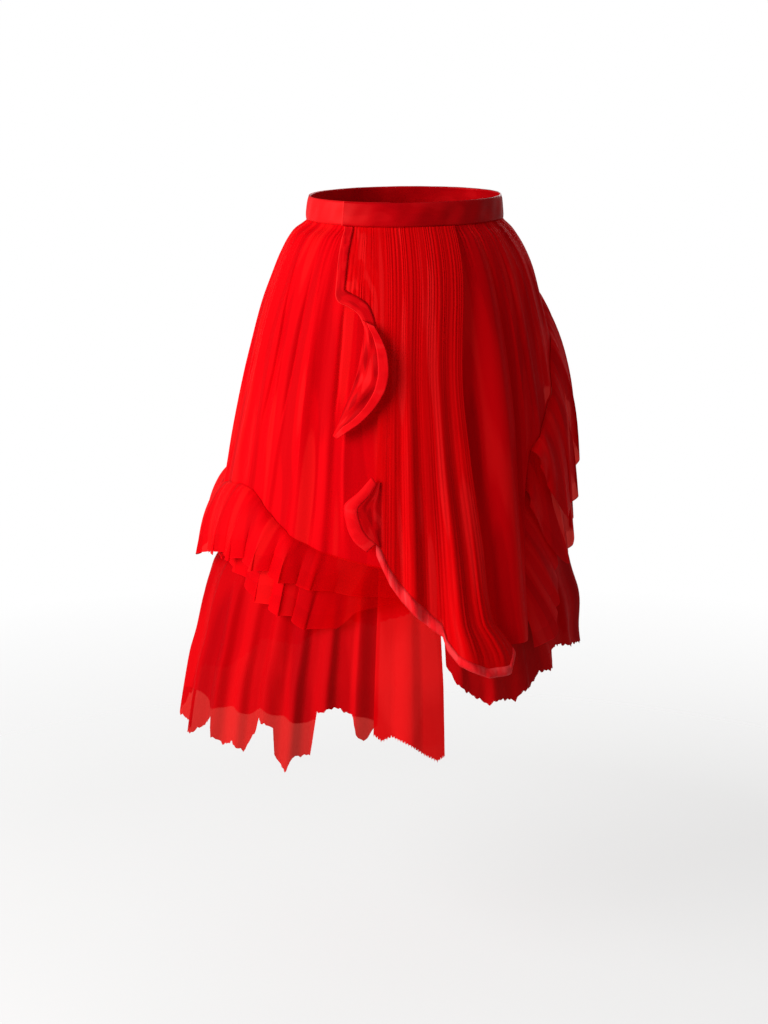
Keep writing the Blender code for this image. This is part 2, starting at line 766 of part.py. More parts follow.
underskirt("underskirt_left", leftSeam + seamTurn, slitLeft - 0.25, leftUnderskirtHem, 0.036, silkLight)
underskirt("underskirt_apron", slitLeft, slitRight - 0.25, apronHem, 0.13, silkDeep)
underskirt("underskirt_right", slitRight, rightSeam - seamTurn, rightUnderskirtHem, 0.045, silkDeep)
underskirt("underskirt_back_right", rightSeam + seamTurn, centreBack - seamTurn, backRightUnderHem, 0.05, silkDeep)
underskirt("underskirt_back_left", -centreBack + seamTurn, leftSeam - seamTurn, backLeftUnderHem, 0.05, silkDeep)
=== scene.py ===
import bpy
import bmesh
import math
import numpy as np
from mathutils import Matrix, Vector


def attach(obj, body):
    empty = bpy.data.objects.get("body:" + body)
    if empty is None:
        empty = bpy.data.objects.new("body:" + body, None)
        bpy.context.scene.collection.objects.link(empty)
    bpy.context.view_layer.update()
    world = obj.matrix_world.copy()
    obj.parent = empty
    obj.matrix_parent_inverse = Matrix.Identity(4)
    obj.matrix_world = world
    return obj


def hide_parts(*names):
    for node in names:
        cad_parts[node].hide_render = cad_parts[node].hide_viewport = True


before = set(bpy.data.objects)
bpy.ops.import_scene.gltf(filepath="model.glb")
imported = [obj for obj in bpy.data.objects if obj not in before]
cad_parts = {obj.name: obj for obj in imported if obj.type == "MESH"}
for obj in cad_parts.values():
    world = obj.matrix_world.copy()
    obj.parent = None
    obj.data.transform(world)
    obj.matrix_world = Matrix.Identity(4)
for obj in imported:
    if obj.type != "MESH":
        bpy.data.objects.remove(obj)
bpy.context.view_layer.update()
mm = 0.001

# Sizes are in millimetres and angles in degrees. Round the waist, 0 is the middle of the front and +90 is +X.
waist = {
    "bandHigh": 30.0,
    "bandThick": 2.2,
    "lapStandsOff": 3.3,  # the waistband's free end, off the part it covers
    "lapStart": -46.0,
    "lapEnd": -14.0,
}
seamGap = 0.3
clothTop = -waist["bandHigh"] / 2 - seamGap
bindingDeep = 12.0
leftSeam, rightSeam, centreBack = -97.7, 92.0, 180.0
seamTurn = 0.08

# The shape that the outer cloth hangs on.
hangingShape = (
    # height, half width left, half width right, front depth, back depth
    (20, 124, 124, 92, 92), (-15, 128, 128, 96, 96), (-31, 147, 142, 107, 112),
    (-57, 162, 158, 121, 128), (-84, 173, 169, 132, 140), (-123, 187, 179, 144, 154),
    (-190, 204, 194, 158, 172), (-270, 221, 206, 174, 190), (-369, 239, 212, 190, 206),
    (-463, 256, 219, 203, 218), (-533, 268, 231, 211, 225), (-604, 280, 238, 218, 230),
    (-675, 291, 243, 224, 235), (-740, 299, 247, 229, 240),
)

# Soft folds of the outer panels, from the waist to 500 mm below it.
panelFolds = (
    # angle top, angle foot, half width top, half width foot, height top, height foot, lean
    (-92, -94, 5, 7, 0.5, 8, 0.3), (-78, -82, 5, 7, 0.6, 6, -0.4), (-64, -69, 4, 6, 0.6, 6, 0.5),
    (-53, -58, 3.5, 5, 0.5, 5, 0.5), (-44, -45, 4, 6, 0.8, 10, -0.3), (-34, -35, 3, 5, 0.5, 5, 0.4),
    (29, 27.5, 9, 13, 1.2, 24, 0.5), (47, 46, 4, 5, 0.6, 7, 0.4), (60, 58, 5, 6, 0.6, 9, -0.4),
    (74, 73, 5, 6, 0.6, 8, 0.5), (88, 88, 5, 6, 0.5, 9, 0.3), (103, 102, 6, 7, 0.6, 9, -0.5),
    (119, 117, 6, 7, 0.6, 10, 0.4), (136, 136, 6, 8, 0.6, 9, -0.3), (152, 154, 6, 7, 0.6, 11, 0.5),
    (169, 170, 6, 8, 0.6, 9, 0.4), (-173, -171, 6, 7, 0.6, 10, -0.4), (-157, -155, 6, 8, 0.6, 9, 0.5),
    (-141, -142, 6, 7, 0.6, 11, 0.3), (-125, -126, 6, 8, 0.6, 9, -0.4),
    (-109, -110, 6, 7, 0.6, 10, 0.4),
)

underskirtFolds = (
    # angle top, angle foot, half width top, half width foot, height top, height foot, lean
    (-90, -90, 5, 6, 0, 12, 0.3), (-77, -77, 5, 6, 0, 15, -0.3), (-66, -66, 4, 5, 0, 13, 0.5),
    (-57, -57, 4, 4, 0, 9, 0.4), (-48, -48, 4, 5, 0, 15, -0.3), (-38, -39, 4, 4, 0, 12, 0.4),
    (-30, -30, 3, 4, 0, 13, 0.5), (-22, -22, 3, 3, 0, 9, -0.5), (-7, -7, 4, 5, 0, 5, 0.3),
    (8, 8, 4, 4, 0, 9, 0.5), (18, 18, 4, 5, 0, 11, -0.4), (30, 30, 4, 5, 0, 10, 0.5),
    (42, 42, 4, 6, 0, 8, 0.4), (57, 57, 5, 6, 0, 11, -0.5), (73, 73, 5, 7, 0, 13, 0.5),
    (90, 90, 6, 7, 0, 11, 0.3), (106, 106, 6, 8, 0, 14, 0.5), (124, 124, 6, 8, 0, 12, -0.5),
    (142, 142, 6, 8, 0, 14, 0.5), (160, 160, 6, 7, 0, 12, 0.4), (177, 177, 6, 8, 0, 14, -0.3),
    (-165, -165, 6, 7, 0, 12, 0.5), (-148, -148, 6, 8, 0, 15, -0.5), (-131, -131, 6, 7, 0, 12, 0.5),
    (-114, -114, 6, 8, 0, 14, 0.4), (-102, -102, 4, 4, 0, 9, -0.4),
)


def smoothLine(x, y, at):
    # a smooth line through the points that never swings past them
    step = np.diff(x)
    rise = np.diff(y) / step
    slope = np.zeros_like(y)
    total = rise[1:] + rise[:-1]
    steady = rise[1:] * rise[:-1] > 0
    slope[1:-1][steady] = 2 * (rise[1:] * rise[:-1])[steady] / total[steady]
    slope[0], slope[-1] = rise[0], rise[-1]
    at = np.clip(at, x[0], x[-1])
    k = np.clip(np.searchsorted(x, at, side="right") - 1, 0, len(step) - 1)
    t = (at - x[k]) / step[k]
    bend = step[k] * (slope[k] * t * (1 - t) ** 2 - slope[k + 1] * t * t * (1 - t))
    return y[k] * (1 + 2 * t) * (1 - t) ** 2 + y[k + 1] * t * t * (3 - 2 * t) + bend


def read(table, at, names=2, soft=True):
    # the value columns of (share, value, ...) rows at the shares in at
    rows = np.array(table, float)
    reader = smoothLine if soft else lambda x, y, places: np.interp(places, x, y)
    return [reader(rows[:, 0], rows[:, k + 1], at) for k in range(names)]


def sectionSize(height, side):
    rows = np.array(hangingShape, float)
    return smoothLine(-rows[:, 0], rows[:, side], -height)


def skin(angle, height, lift):
    # points at an angle and a height, lifted off the hanging shape
    turn = np.radians(angle)
    s, c = np.sin(turn), np.cos(turn)
    left, right, front, back = (sectionSize(height, side) for side in (1, 2, 3, 4))
    across = (left + right) / 2 + (right - left) / 2 * s
    deep = (front + back) / 2 + (front - back) / 2 * c
    nx, ny = s / across, -c / deep
    size = np.hypot(nx, ny)
    return np.stack([across * s + nx / size * lift, -deep * c + ny / size * lift, height], axis=-1)


def fade(value, start, end):
    # 0 before start, 1 after end, smooth between
    t = np.clip((value - start) / (end - start), 0, 1)
    return t * t * (3 - 2 * t)


def turned(angle):
    return (angle + 180) % 360 - 180


def foldLift(folds, angle, height):
    down = np.clip((clothTop - height) / 500, 0, 1.3)
    lift = np.zeros_like(angle)
    for angleTop, angleFoot, wideTop, wideFoot, highTop, highFoot, lean in folds:
        centre = angleTop + (angleFoot - angleTop) * down
        wide = wideTop + (wideFoot - wideTop) * down
        high = highTop * np.clip(down * 12, 0, 1) + (highFoot - highTop) * down**0.7
        away = turned(angle - centre) / wide
        away = away / np.where(away * lean > 0, 1 - abs(lean) * 0.9, 1 + abs(lean) * 0.35)
        lift = lift + high * (0.5 + 0.5 * np.cos(np.pi * np.clip(np.abs(away), 0, 1)))
    return 0.65 * lift


creases = (
    # pressed-in lines and soft ridges: angle and height at the top, angle and height at the foot,
    # sideways bow, half width left, half width right, lift (a trough is negative)
    (-84.5, -95, -84, -225, 0.5, 0.8, 2.4, -1.8),
    (-90.5, -160, -91, -350, -0.6, 4.0, 1.2, 1.8),
    (-76, -80, -79.5, -335, 1.2, 2.0, 4.0, 1.8),
    (-68.5, -30, -65.5, -270, 3.6, 0.8, 3.2, -2.6),
    (-60.5, -150, -61.5, -352, 0.8, 3.6, 1.2, 1.8),
    (-53, -40, -57, -310, 2.2, 3.0, 0.7, -2.4),
    (-48.5, -20, -45, -345, 1.2, 0.7, 3.2, 3.6),
    (-38.5, -240, -38, -410, 0.5, 1.4, 3.2, -1.6),
    (-33, -105, -33, -255, 0.6, 2.2, 0.6, -2.2),
    (-28.5, -190, -27.5, -412, -0.8, 1.0, 3.0, 1.6),
    (33, -18, 29.5, -530, 3.2, 0.7, 2.4, -4.2),
    (39.5, -60, 38, -330, 0.8, 2.0, 0.7, 2.4),
    (44, -30, 45, -290, -0.8, 0.7, 2.2, -2.6),
    (52.5, -45, 54.5, -240, 1.0, 2.2, 0.7, 2.6),
    (58, -25, 62, -200, -0.7, 0.7, 1.8, -2.2),
    (67, -60, 71, -170, 0.6, 2.2, 0.8, 2.0),
    (80, -30, 82, -130, -0.5, 0.8, 2.0, -1.8),
    (97, -24, 98, -108, 0.6, 0.7, 2.2, -2.0),
    (112, -40, 110, -135, 0.9, 2.4, 0.8, 2.2),
    (126, -22, 128.5, -150, -1.1, 0.8, 2.4, -2.6),
    (143, -35, 142, -175, 0.7, 2.0, 0.7, 2.4),
    (161, -25, 163, -205, -0.8, 0.7, 2.6, -2.8),
    (174, -60, 175, -225, 0.6, 2.2, 0.7, 2.2),
    (-176, -22, -174, -230, 1.0, 0.8, 2.2, -2.6),
    (-165, -70, -163, -255, -0.7, 2.6, 0.8, 2.8),
    (-150, -25, -152, -240, 1.2, 0.7, 2.6, -3.0),
    (-136, -60, -134, -300, 0.6, 2.2, 0.7, 2.6),
    (-118, -30, -121, -290, -1.0, 0.8, 2.8, -3.0),
    (-104, -90, -105, -340, 0.8, 2.0, 0.8, 2.2),
)


def creaseLift(table, angle, height):
    lift = np.zeros_like(angle)
    for angleTop, top, angleFoot, foot, bow, left, right, deep in table:
        down = np.clip((top - height) / (top - foot), -0.2, 1.2)
        centre = angleTop + (angleFoot - angleTop) * down + bow * np.sin(np.pi * np.clip(down, 0, 1))
        away = turned(angle - centre)
        across = np.clip(1 - np.abs(away) / np.where(away < 0, left, right), 0, 1)
        along = fade(down, -0.05, 0.25) * (1 - fade(down, 0.7, 1.05))
        lift = lift + deep * across**1.4 * along
    return lift


def gathers(angle, height, deep, reach, pitch, start):
    # small uneven gathers under the waistband, pitch in degrees, that die out lower down
    turn = 2 * np.pi * angle / pitch
    around = np.radians(angle)
    turn = turn + 1.9 * np.sin(around * 19 + start) + 1.2 * np.sin(around * 43 + 2 * start)
    below = clothTop - height
    uneven = 0.65 + 0.35 * np.sin(around * 31 + 3 * start)
    return deep * uneven * np.sin(turn) * fade(below, -2, 9) * np.exp(-np.maximum(below, 0) / reach)


def shares(table, step):
    # column places: each row of the table, with the spaces between filled to the step
    rows = sorted({row[0] for row in table})
    places = []
    for low, high in zip(rows, rows[1:]):
        parts = max(1, math.ceil((high - low) / step - 1e-6))
        places += [low + (high - low) * i / parts for i in range(parts)]
    return np.array(places + [rows[-1]])


def toFreeEdge(points, free):
    # how far each point lies from the nearest free edge, along the cloth
    down = np.linalg.norm(np.diff(points, axis=0), axis=-1)
    along = np.linalg.norm(np.diff(points, axis=1), axis=-1)
    fromTop = np.pad(np.cumsum(down, axis=0), ((1, 0), (0, 0)))
    fromLeft = np.pad(np.cumsum(along, axis=1), ((0, 0), (1, 0)))
    found = {
        "top": fromTop,
        "foot": fromTop[-1] - fromTop,
        "left": fromLeft,
        "right": fromLeft[:, -1:] - fromLeft,
    }
    nearest = np.full(points.shape[:2], 500.0)
    for side in free:
        nearest = np.minimum(nearest, found[side])
    return nearest


def sewCloth(name, across, down, place, material, nodes, cut, free=("foot",), thick=0):
    # one sheet of cloth: a flat grid whose columns and rows are laid where place(u, v) says
    bm = bmesh.new()
    bmesh.ops.create_grid(bm, x_segments=len(across) - 1, y_segments=len(down) - 1, size=1)
    mesh = bpy.data.meshes.new(name)
    bm.to_mesh(mesh)
    bm.free()
    flat = np.empty(len(mesh.vertices) * 3)
    mesh.vertices.foreach_get("co", flat)
    flat = flat.reshape(-1, 3)
    order = np.lexsort((np.round(flat[:, 0], 6), -np.round(flat[:, 1], 6)))
    u, v = np.meshgrid(across, down)
    grid = place(u, v)
    points = np.empty_like(flat)
    points[order] = grid.reshape(-1, 3) * mm
    mesh.vertices.foreach_set("co", points.ravel())
    mesh.polygons.foreach_set("use_smooth", np.ones(len(mesh.polygons), bool))
    edge = np.empty(len(points))
    edge[order] = toFreeEdge(grid, free).ravel()
    mesh.attributes.new("edgeMm", "FLOAT", "POINT").data.foreach_set("value", edge)
    cloth = np.empty((len(points), 2))
    cloth[order] = np.stack([u * cut["wide"], (1 - v) * cut["long"]], axis=-1).reshape(-1, 2)
    corner = np.empty(len(mesh.loops), int)
    mesh.loops.foreach_get("vertex_index", corner)
    mesh.uv_layers.new(name="cloth").data.foreach_set("uv", cloth[corner].ravel())
    mesh.update()
    facing = np.empty(len(mesh.polygons) * 3)
    middle = np.empty(len(mesh.polygons) * 3)
    mesh.polygons.foreach_get("normal", facing)
    mesh.polygons.foreach_get("center", middle)
    facing, middle = facing.reshape(-1, 3), middle.reshape(-1, 3)
    if (facing[:, :2] * middle[:, :2]).sum() < 0:
        mesh.flip_normals()
    piece = bpy.data.objects.new(name, mesh)
    bpy.context.scene.collection.objects.link(piece)
    mesh.materials.append(material)
    if thick:
        wall = piece.modifiers.new("wall", "SOLIDIFY")
        wall.thickness = thick * mm
        wall.offset = 0
    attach(piece, "root")
    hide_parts(*nodes)
    return piece


def evenly(count):
    return np.linspace(0, 1, count)


def line(start, end):
    return ((0, *start), (1, *end))


def patch(top, foot, left, right, u, v, soft=True):
    # angles and heights of a panel between four border tables of (share, angle, height) rows
    tops, feet = read(top, u, 2, soft), read(foot, u, 2, soft)
    lefts, rights = read(left, v), read(right, v)
    found = []
    for k in (0, 1):
        corners = (
            (1 - u) * (1 - v) * top[0][k + 1]
            + u * (1 - v) * top[-1][k + 1]
            + (1 - u) * v * foot[0][k + 1]
            + u * v * foot[-1][k + 1]
        )
        found.append((1 - v) * tops[k] + v * feet[k] + (1 - u) * lefts[k] + u * rights[k] - corners)
    return found


def linear(colour):
    # an sRGB hex colour as Blender's linear one
    parts = [int(colour[k : k + 2], 16) / 255 for k in (0, 2, 4)]
    return [p / 12.92 if p <= 0.04045 else ((p + 0.055) / 1.055) ** 2.4 for p in parts] + [1]


def addNode(material, kind, links=None, **settings):
    # links maps an input to another node's output, settings are properties or input values
    node = material.node_tree.nodes.new("ShaderNode" + kind)
    for name, value in settings.items():
        socket = name.replace("_", " ")
        if hasattr(node, name):
            setattr(node, name, value)
        else:
            node.inputs[socket].default_value = value
    for name, output in (links or {}).items():
        material.node_tree.links.new(output, node.inputs[name])  # by name or by place
    return node


def newMaterial(name):
    material = bpy.data.materials.new(name)
    material.use_nodes = True
    material.node_tree.nodes.clear()
    return material


def step(material, value, start, end, low, high):
    # low up to start, high from end, and straight between
    node = addNode(material, "MapRange", {"Value": value})
    sizes = {"From Min": start, "From Max": end, "To Min": low, "To Max": high}
    for name, size in sizes.items():
        node.inputs[name].default_value = size
    return node.outputs["Result"]


def blendColours(material, share, first, second):
    node = addNode(material, "Mix", data_type="RGBA")
    for place, colour in ((6, first), (7, second)):
        if isinstance(colour, str):
            node.inputs[place].default_value = linear(colour)
        else:
            material.node_tree.links.new(colour, node.inputs[place])
    material.node_tree.links.new(share, node.inputs[0])
    return node.outputs[2]


def alongCloth(material, across, down, detail):
    # an uneven pattern, so many mm wide and long, that runs with the cloth
    uv = addNode(material, "UVMap", uv_map="cloth")
    run = addNode(material, "Mapping", {"Vector": uv.outputs["UV"]}, Scale=(1000 / across, 1000 / down, 1))
    noise = addNode(material, "TexNoise", {"Vector": run.outputs["Vector"]}, Scale=1.0, Detail=detail)
    return noise.outputs["Fac"]


def alongWidth(material):
    # metres along the cloth's width
    uv = addNode(material, "UVMap", uv_map="cloth")
    return addNode(material, "SeparateXYZ", {0: uv.outputs["UV"]}).outputs["X"]


def silk(name, look):
    # sheer silk: red light passes through it, painted shade and painted sheen stand for the layers behind
    # as crisp darker and lighter bands, and fine slubs in the yarn run down it as bumps and painted-sheen
    # streaks
    look = {**clothLook, **look}
    material = newMaterial(name)
    shadeAndSheenBands = alongCloth(material, look["bandWide"], look["bandLong"], 1.0)
    slubsAndSheen = alongCloth(material, look["slubWide"], look["slubLong"], 3.0)
    # painted shade in the darker bands, painted sheen in the lighter bands and in the streaks
    darker = step(material, shadeAndSheenBands, 0.52, 0.57, 0, look["darker"])
    lighter = step(material, shadeAndSheenBands, 0.40, 0.44, look["lighter"], 0)
    streak = step(material, slubsAndSheen, 0.42, 0.75, 0, look["streak"])
    colour = blendColours(material, darker, look["colour"], look["shade"])
    colour = blendColours(material, lighter, colour, look["light"])
    colour = blendColours(material, streak, colour, look["light"])
    if look.get("paintedLitSide"):
        # painted light: the stretch of the strip from here on, on its lit side, has a lighter face
        share = step(material, alongWidth(material), look["paintedLitFrom"], look["paintedLitTo"], 0, 1)
        colour = blendColours(material, share, colour, look["paintedLitSide"])
    edge = addNode(material, "Attribute", attribute_name="edgeMm").outputs["Fac"]
    if look.get("edgeLine"):
        # painted highlight: the turned edge stands up a little and is coloured lighter along it
        edgeHighlight = step(material, edge, look["edgeLine"], look["edgeLine"] + 0.3, 1, 0)
        colour = blendColours(material, edgeHighlight, colour, "ff2a2a")
    bump = addNode(material, "Bump", {"Height": slubsAndSheen}, Strength=look["bump"], Distance=0.0006)
    cloth = addNode(
        material,
        "BsdfPrincipled",
        {"Base Color": colour, "Normal": bump.outputs["Normal"]},
        Roughness=look["rough"],
        Specular_IOR_Level=look["gloss"],
        Specular_Tint=linear("ff5048"),
        Sheen_Weight=look["sheen"],
        Sheen_Roughness=0.35,
        Sheen_Tint=linear("ff3a34"),
    )
    glow = addNode(material, "BsdfTranslucent", {"Color": colour, "Normal": bump.outputs["Normal"]})
    mixed = {1: cloth.outputs["BSDF"], 2: glow.outputs["BSDF"]}
    thread = addNode(material, "MixShader", mixed, Fac=look["glow"])
    shown = thread
    if look["cover"] < 1:
        # one layer alone, near the free edge or below a level, is the sheerest
        gaps = addNode(material, "BsdfTransparent", Color=linear("ff5a50"))
        wander = alongCloth(material, look["layerWander"], 400, 1.0)
        inside = edge
        if look.get("byLevel"):
            place = addNode(material, "TexCoord")
            split = addNode(material, "SeparateXYZ", {0: place.outputs["Object"]})
            inside = addNode(material, "Math", {0: split.outputs["Z"]}, operation="MULTIPLY")
            inside.inputs[1].default_value = 1000
            inside = inside.outputs[0]
        layerEdge = addNode(material, "Math", {0: wander, 2: inside}, operation="MULTIPLY_ADD")
        layerEdge.inputs[1].default_value = -look["layerSwing"]
        start, end = look["layerFrom"], look["layerFrom"] + 1.5
        doubled = step(material, layerEdge.outputs[0], start, end, look["edgeCover"], look["cover"])
        rolled = step(material, edge, look["hemWide"], look["hemWide"] + 0.6, 1, 0)
        cover = addNode(material, "Math", {0: doubled, 1: rolled}, operation="MAXIMUM").outputs[0]
        if look.get("thin"):
            # towards its far end the ruffle is so sheer that it melts into the panel
            thin = step(material, alongWidth(material), look["thinFrom"], look["thinTo"], 1, look["thin"])
            cover = addNode(material, "Math", {0: cover, 1: thin}, operation="MULTIPLY").outputs[0]
        mixed = {0: cover, 1: gaps.outputs["BSDF"], 2: thread.outputs["Shader"]}
        shown = addNode(material, "MixShader", mixed)
    addNode(material, "OutputMaterial", {"Surface": shown.outputs["Shader"]})
    return material


# What most of the finishes share; each one below states what differs.
clothLook = {
    "darker": 0.5, "lighter": 0.5, "slubWide": 2.0, "slubLong": 20, "streak": 0.25, "bump": 0.15,
    "rough": 0.45, "gloss": 0.08, "sheen": 0.06, "glow": 0.12, "cover": 1.0,
    "layerFrom": 0, "layerWander": 30, "layerSwing": 0, "hemWide": 0,
}
organzaLook = {
    "colour": "ec020e", "shade": "d8010c", "light": "fa1216", "bandWide": 34, "bandLong": 340,
    "darker": 0.9, "lighter": 0.8, "slubWide": 2.2, "slubLong": 60, "streak": 0.12, "bump": 0.08,
    "rough": 0.5, "gloss": 0.05, "sheen": 0.08, "cover": 0.93, "edgeCover": 0.84, "layerFrom": 8,
    "layerSwing": 30, "hemWide": 1.2,
}
# crisp thin cloth that glows bright red in the light, with painted shade and painted sheen as darker and
# lighter bands for the layers behind it
organza = silk("silkOrganza", organzaLook)
# the same, fading out towards the wrap
tierOrganza = silk("tierSilkOrganza", {**organzaLook, "thinFrom": 0.22, "thinTo": 0.36, "thin": 0.35})
# the wrong side of the turned-out edge, with painted shade: darker overall and deep red in its hollows
leafOrganza = silk("shadedSilkOrganza", {
    "colour": "e2060f", "shade": "b0020a", "light": "ff1c20", "bandWide": 10, "bandLong": 60,
    "darker": 0.7, "lighter": 0.7, "slubWide": 2.4, "slubLong": 60, "streak": 0.08, "bump": 0.08,
    "sheen": 0.1, "cover": 0.97, "edgeCover": 0.97,
})
# many fine painted highlight streaks along the pleats
pleatedOrganza = silk("pleatedSilkOrganza", {
    "colour": "e60208", "shade": "d40208", "light": "fa1c1e", "bandWide": 30, "bandLong": 260,
    "slubLong": 80, "streak": 0.3, "gloss": 0.06, "glow": 0.16, "cover": 0.96, "edgeCover": 0.96,
})
chiffonLook = {
    "colour": "c6020a", "shade": "b00109", "light": "d8060e", "bandWide": 75, "bandLong": 420,
    "darker": 0.9, "lighter": 0.8, "slubWide": 3.0, "slubLong": 60, "streak": 0.12, "bump": 0.1,
    "rough": 0.55, "gloss": 0.04, "cover": 0.985, "edgeCover": 0.74, "byLevel": True, "layerFrom": -668,
    "layerWander": 60, "layerSwing": 70, "hemWide": 0.3,
}
# soft and matt, with painted shade: darker than the outer cloth, see-through at its foot
chiffon = silk("sheerSilkChiffon", chiffonLook)
apronLook = {
    "colour": "ea040c", "shade": "d8020a", "light": "fa1418", "cover": 0.945, "edgeCover": 0.93,
    "layerFrom": -700,
}
# one layer, painted brighter than the other chiffon as painted light
apronChiffon = silk("singleSilkChiffon", {**chiffonLook, **apronLook})
# the brightest line of the skirt: satin with a painted highlight, coloured brighter and pinker all along its
# curve
hemSatin = silk("hemBindingSatin", {
    "colour": "ff2a30", "shade": "f81620", "light": "ff4044", "bandWide": 18, "bandLong": 30,
    "darker": 0.8, "lighter": 0.9, "streak": 0.15, "bump": 0.1, "gloss": 0.2, "sheen": 0.35,
})
# smooth satin with a soft sheen, painted darker as painted shade, and paler on its lapped end as painted
# light
bandSatin = silk("waistbandSatin", {
    "colour": "be020b", "shade": "aa010a", "light": "d80e14", "paintedLitSide": "e21218", "paintedLitFrom": 0.5,
    "paintedLitTo": 0.58, "bandWide": 60, "bandLong": 40, "lighter": 0.4, "slubWide": 40, "slubLong": 1.6,
    "streak": 0.2, "bump": 0.12, "rough": 0.36, "gloss": 0.2, "sheen": 0.05, "glow": 0.03,
    "edgeLine": 0.8,
})
# satin seen from its dull side, painted darker as painted shade, with a painted highlight along its turned
# edge
turnedSatin = silk("turnedEdgeSatin", {
    "colour": "d8040e", "shade": "b8020a", "light": "f01218", "bandWide": 30, "bandLong": 8,
    "darker": 0.8, "slubWide": 20, "slubLong": 2, "edgeLine": 0.5,
})
# bright narrow satin round the leaves, coloured brighter and pinker as a painted highlight
edgeSatin = silk("bindingSatin", {
    "colour": "f80c16", "shade": "e4040e", "light": "ff2024", "bandWide": 40, "bandLong": 30,
    "lighter": 0.6, "rough": 0.4, "gloss": 0.16, "sheen": 0.1,
})
print("finishes made")


def bandPlace(u, v):
    turn = waist["lapStart"] + (waist["lapEnd"] + 358 - waist["lapStart"]) * u
    level = waist["bandHigh"] / 2 - waist["bandHigh"] * v
    path = (
        (waist["lapStart"], waist["lapStandsOff"]),
        (waist["lapEnd"], waist["lapStandsOff"]),
        (4, 1.2),
        (20, 0),
        (waist["lapEnd"] + 360, 0),
    )
    bow = 1.3 * (1 - (2 * v - 1) ** 4)
    dents = 0.5 * np.sin(np.radians(turn) * 11 + 1.6 * v) + 0.35 * np.sin(np.radians(turn) * 27 + 3 * v)
    left = 0.6 * np.sin(np.radians(turn) * 61) * fade(-turn, 40, 60) * fade(v, 0.2, 0.9) * (turn < 0)
    return skin(turn, level, read(path, turn, 1)[0] + bow + (dents + left) * np.sin(np.pi * v) ** 0.7)


sewCloth(
    "satinWaistband", evenly(320), evenly(13), bandPlace, bandSatin,
    ["waistband"], {"wide": 0.79, "long": 0.03, "on": ["left_front_panel"]},
    free=("left",), thick=waist["bandThick"],
)

# The wrap front: fine sunray pleats, a diagonal hem and a bell at its end.
wrap = {
    "pleats": 36,
    "columnsEach": 9,
    "pleatsOverBand": 26,
    "bellCentre": 0.88,
    "bellWide": 0.22,
    "bellHigh": 26.0,
}
wrapHem = (
    # share across, height of the hem
    (0.0, -88), (0.0833, -95), (0.1667, -104), (0.2222, -120), (0.25, -136), (0.2639, -250),
    (0.2778, -415), (0.37, -452), (0.444, -473), (0.548, -494), (0.641, -511), (0.70, -519),
    (0.72, -536), (0.76, -554), (0.867, -571), (0.957, -570), (1.0, -550),
)
pleatGuides = (
    # depth below the waist, then the distance right of the middle at five places across
    (15, -80, -52.5, -49, 9, 46),
    (60, -91, -55.3, -51.5, 9.5, 48),
    (100, -97, -57.7, -53.5, 7.5, 46),
    (140, -98, -60, -55.5, 4.5, 43),
    (200, -98, -62.5, -58.5, 2, 41),
    (300, -98, -71, -64, 4, 48),
    (412, -98, -78, -70, 9, 60),
    (470, -98, -80, -73, 11, 64),
    (500, -98, -81, -74.5, 12, 69),
    (524, -98, -81.5, -75.5, 13, 84),
    (545, -98, -82, -76, 14, 95),
    (570, -98, -82, -76, 15, 99),
)
guideShares = (0, 0.25, 0.2778, 0.7222, 1)
wrapStandoff = ((-clothTop, 2.4), (31, 4.6), (57, 7), (110, 10), (600, 11))
pleatDeep = ((0, 1.2), (0.15, 1.0), (0.4, 0.5), (0.65, 0.7), (0.85, 1.4), (1, 1.8))
# shallower next to the cascade
pleatAcross = ((0, 1.1), (0.3, 0.55), (0.45, 0.55), (0.6, 0.65), (0.78, 0.95), (1, 1.15))
pleatSharpness = ((0, 1), (0.208, 1), (0.236, 0.1), (0.292, 0.1), (0.32, 1), (1, 1))


def wrapLevel(height):
    return read(wrapStandoff, -height, 1)[0]


dice = np.random.default_rng(7)
pleatDepths = dice.uniform(0.6, 1.15, wrap["pleats"] + 2)  # no two pleats are pressed alike
pleatStarts = dice.uniform(0, 1, wrap["pleats"] + 2)  # where each one fades in and out on its way down


def wrapLift(u, v, height):
    count = u * wrap["pleats"] + 0.3 * np.sin(2 * np.pi * 8.3 * u) + 0.16 * np.sin(2 * np.pi * 14.1 * u + 1)
    part = count % 1
    ridge = 0.5 - np.sqrt((2 * part - 1) ** 2 + 0.012)
    deep = read(pleatDeep, v, 1)[0]
    own = np.clip(count + 1, 0, wrap["pleats"] + 1).astype(int)
    proud = pleatDepths[own] * (0.72 + 0.28 * np.sin(2 * np.pi * (1.6 * v + pleatStarts[own])))
    toHem = height - read(wrapHem, u, 1, False)[0]
    pressed = 1 - 0.72 * fade(-toHem, -34, -10) * (u > guideShares[2])
    near = np.clip(np.abs(u - wrap["bellCentre"]) / wrap["bellWide"], 0, 1)
    bell = wrap["bellHigh"] * np.clip((v - 0.5) / 0.5, 0, 1) ** 1.4 * (0.5 + 0.5 * np.cos(np.pi * near))
    roll = v**1.5 * (3.2 * np.sin(2 * np.pi * (4.1 * u + 0.1)) + 2.2 * np.sin(2 * np.pi * (7.3 * u + 0.4)))
    roll = roll * fade(u, 0.3, 0.4)
    sharp = read(pleatSharpness, u, 1, False)[0]
    low = fade(v, 0.2, 0.5)
    sharp = sharp * (1 - low + low * read(pleatAcross, u, 1)[0])
    return wrapLevel(height) + ridge * deep * proud * pressed * sharp + bell + np.maximum(roll, -3.5)


def angleAt(across, height):
    angle = np.zeros_like(across)
    for _ in range(6):
        left, right = sectionSize(height, 1), sectionSize(height, 2)
        half = (left + right) / 2 + (right - left) / 2 * np.sin(np.radians(angle))
        angle = np.degrees(np.arcsin(np.clip(across / half, -0.95, 0.95)))
    return angle


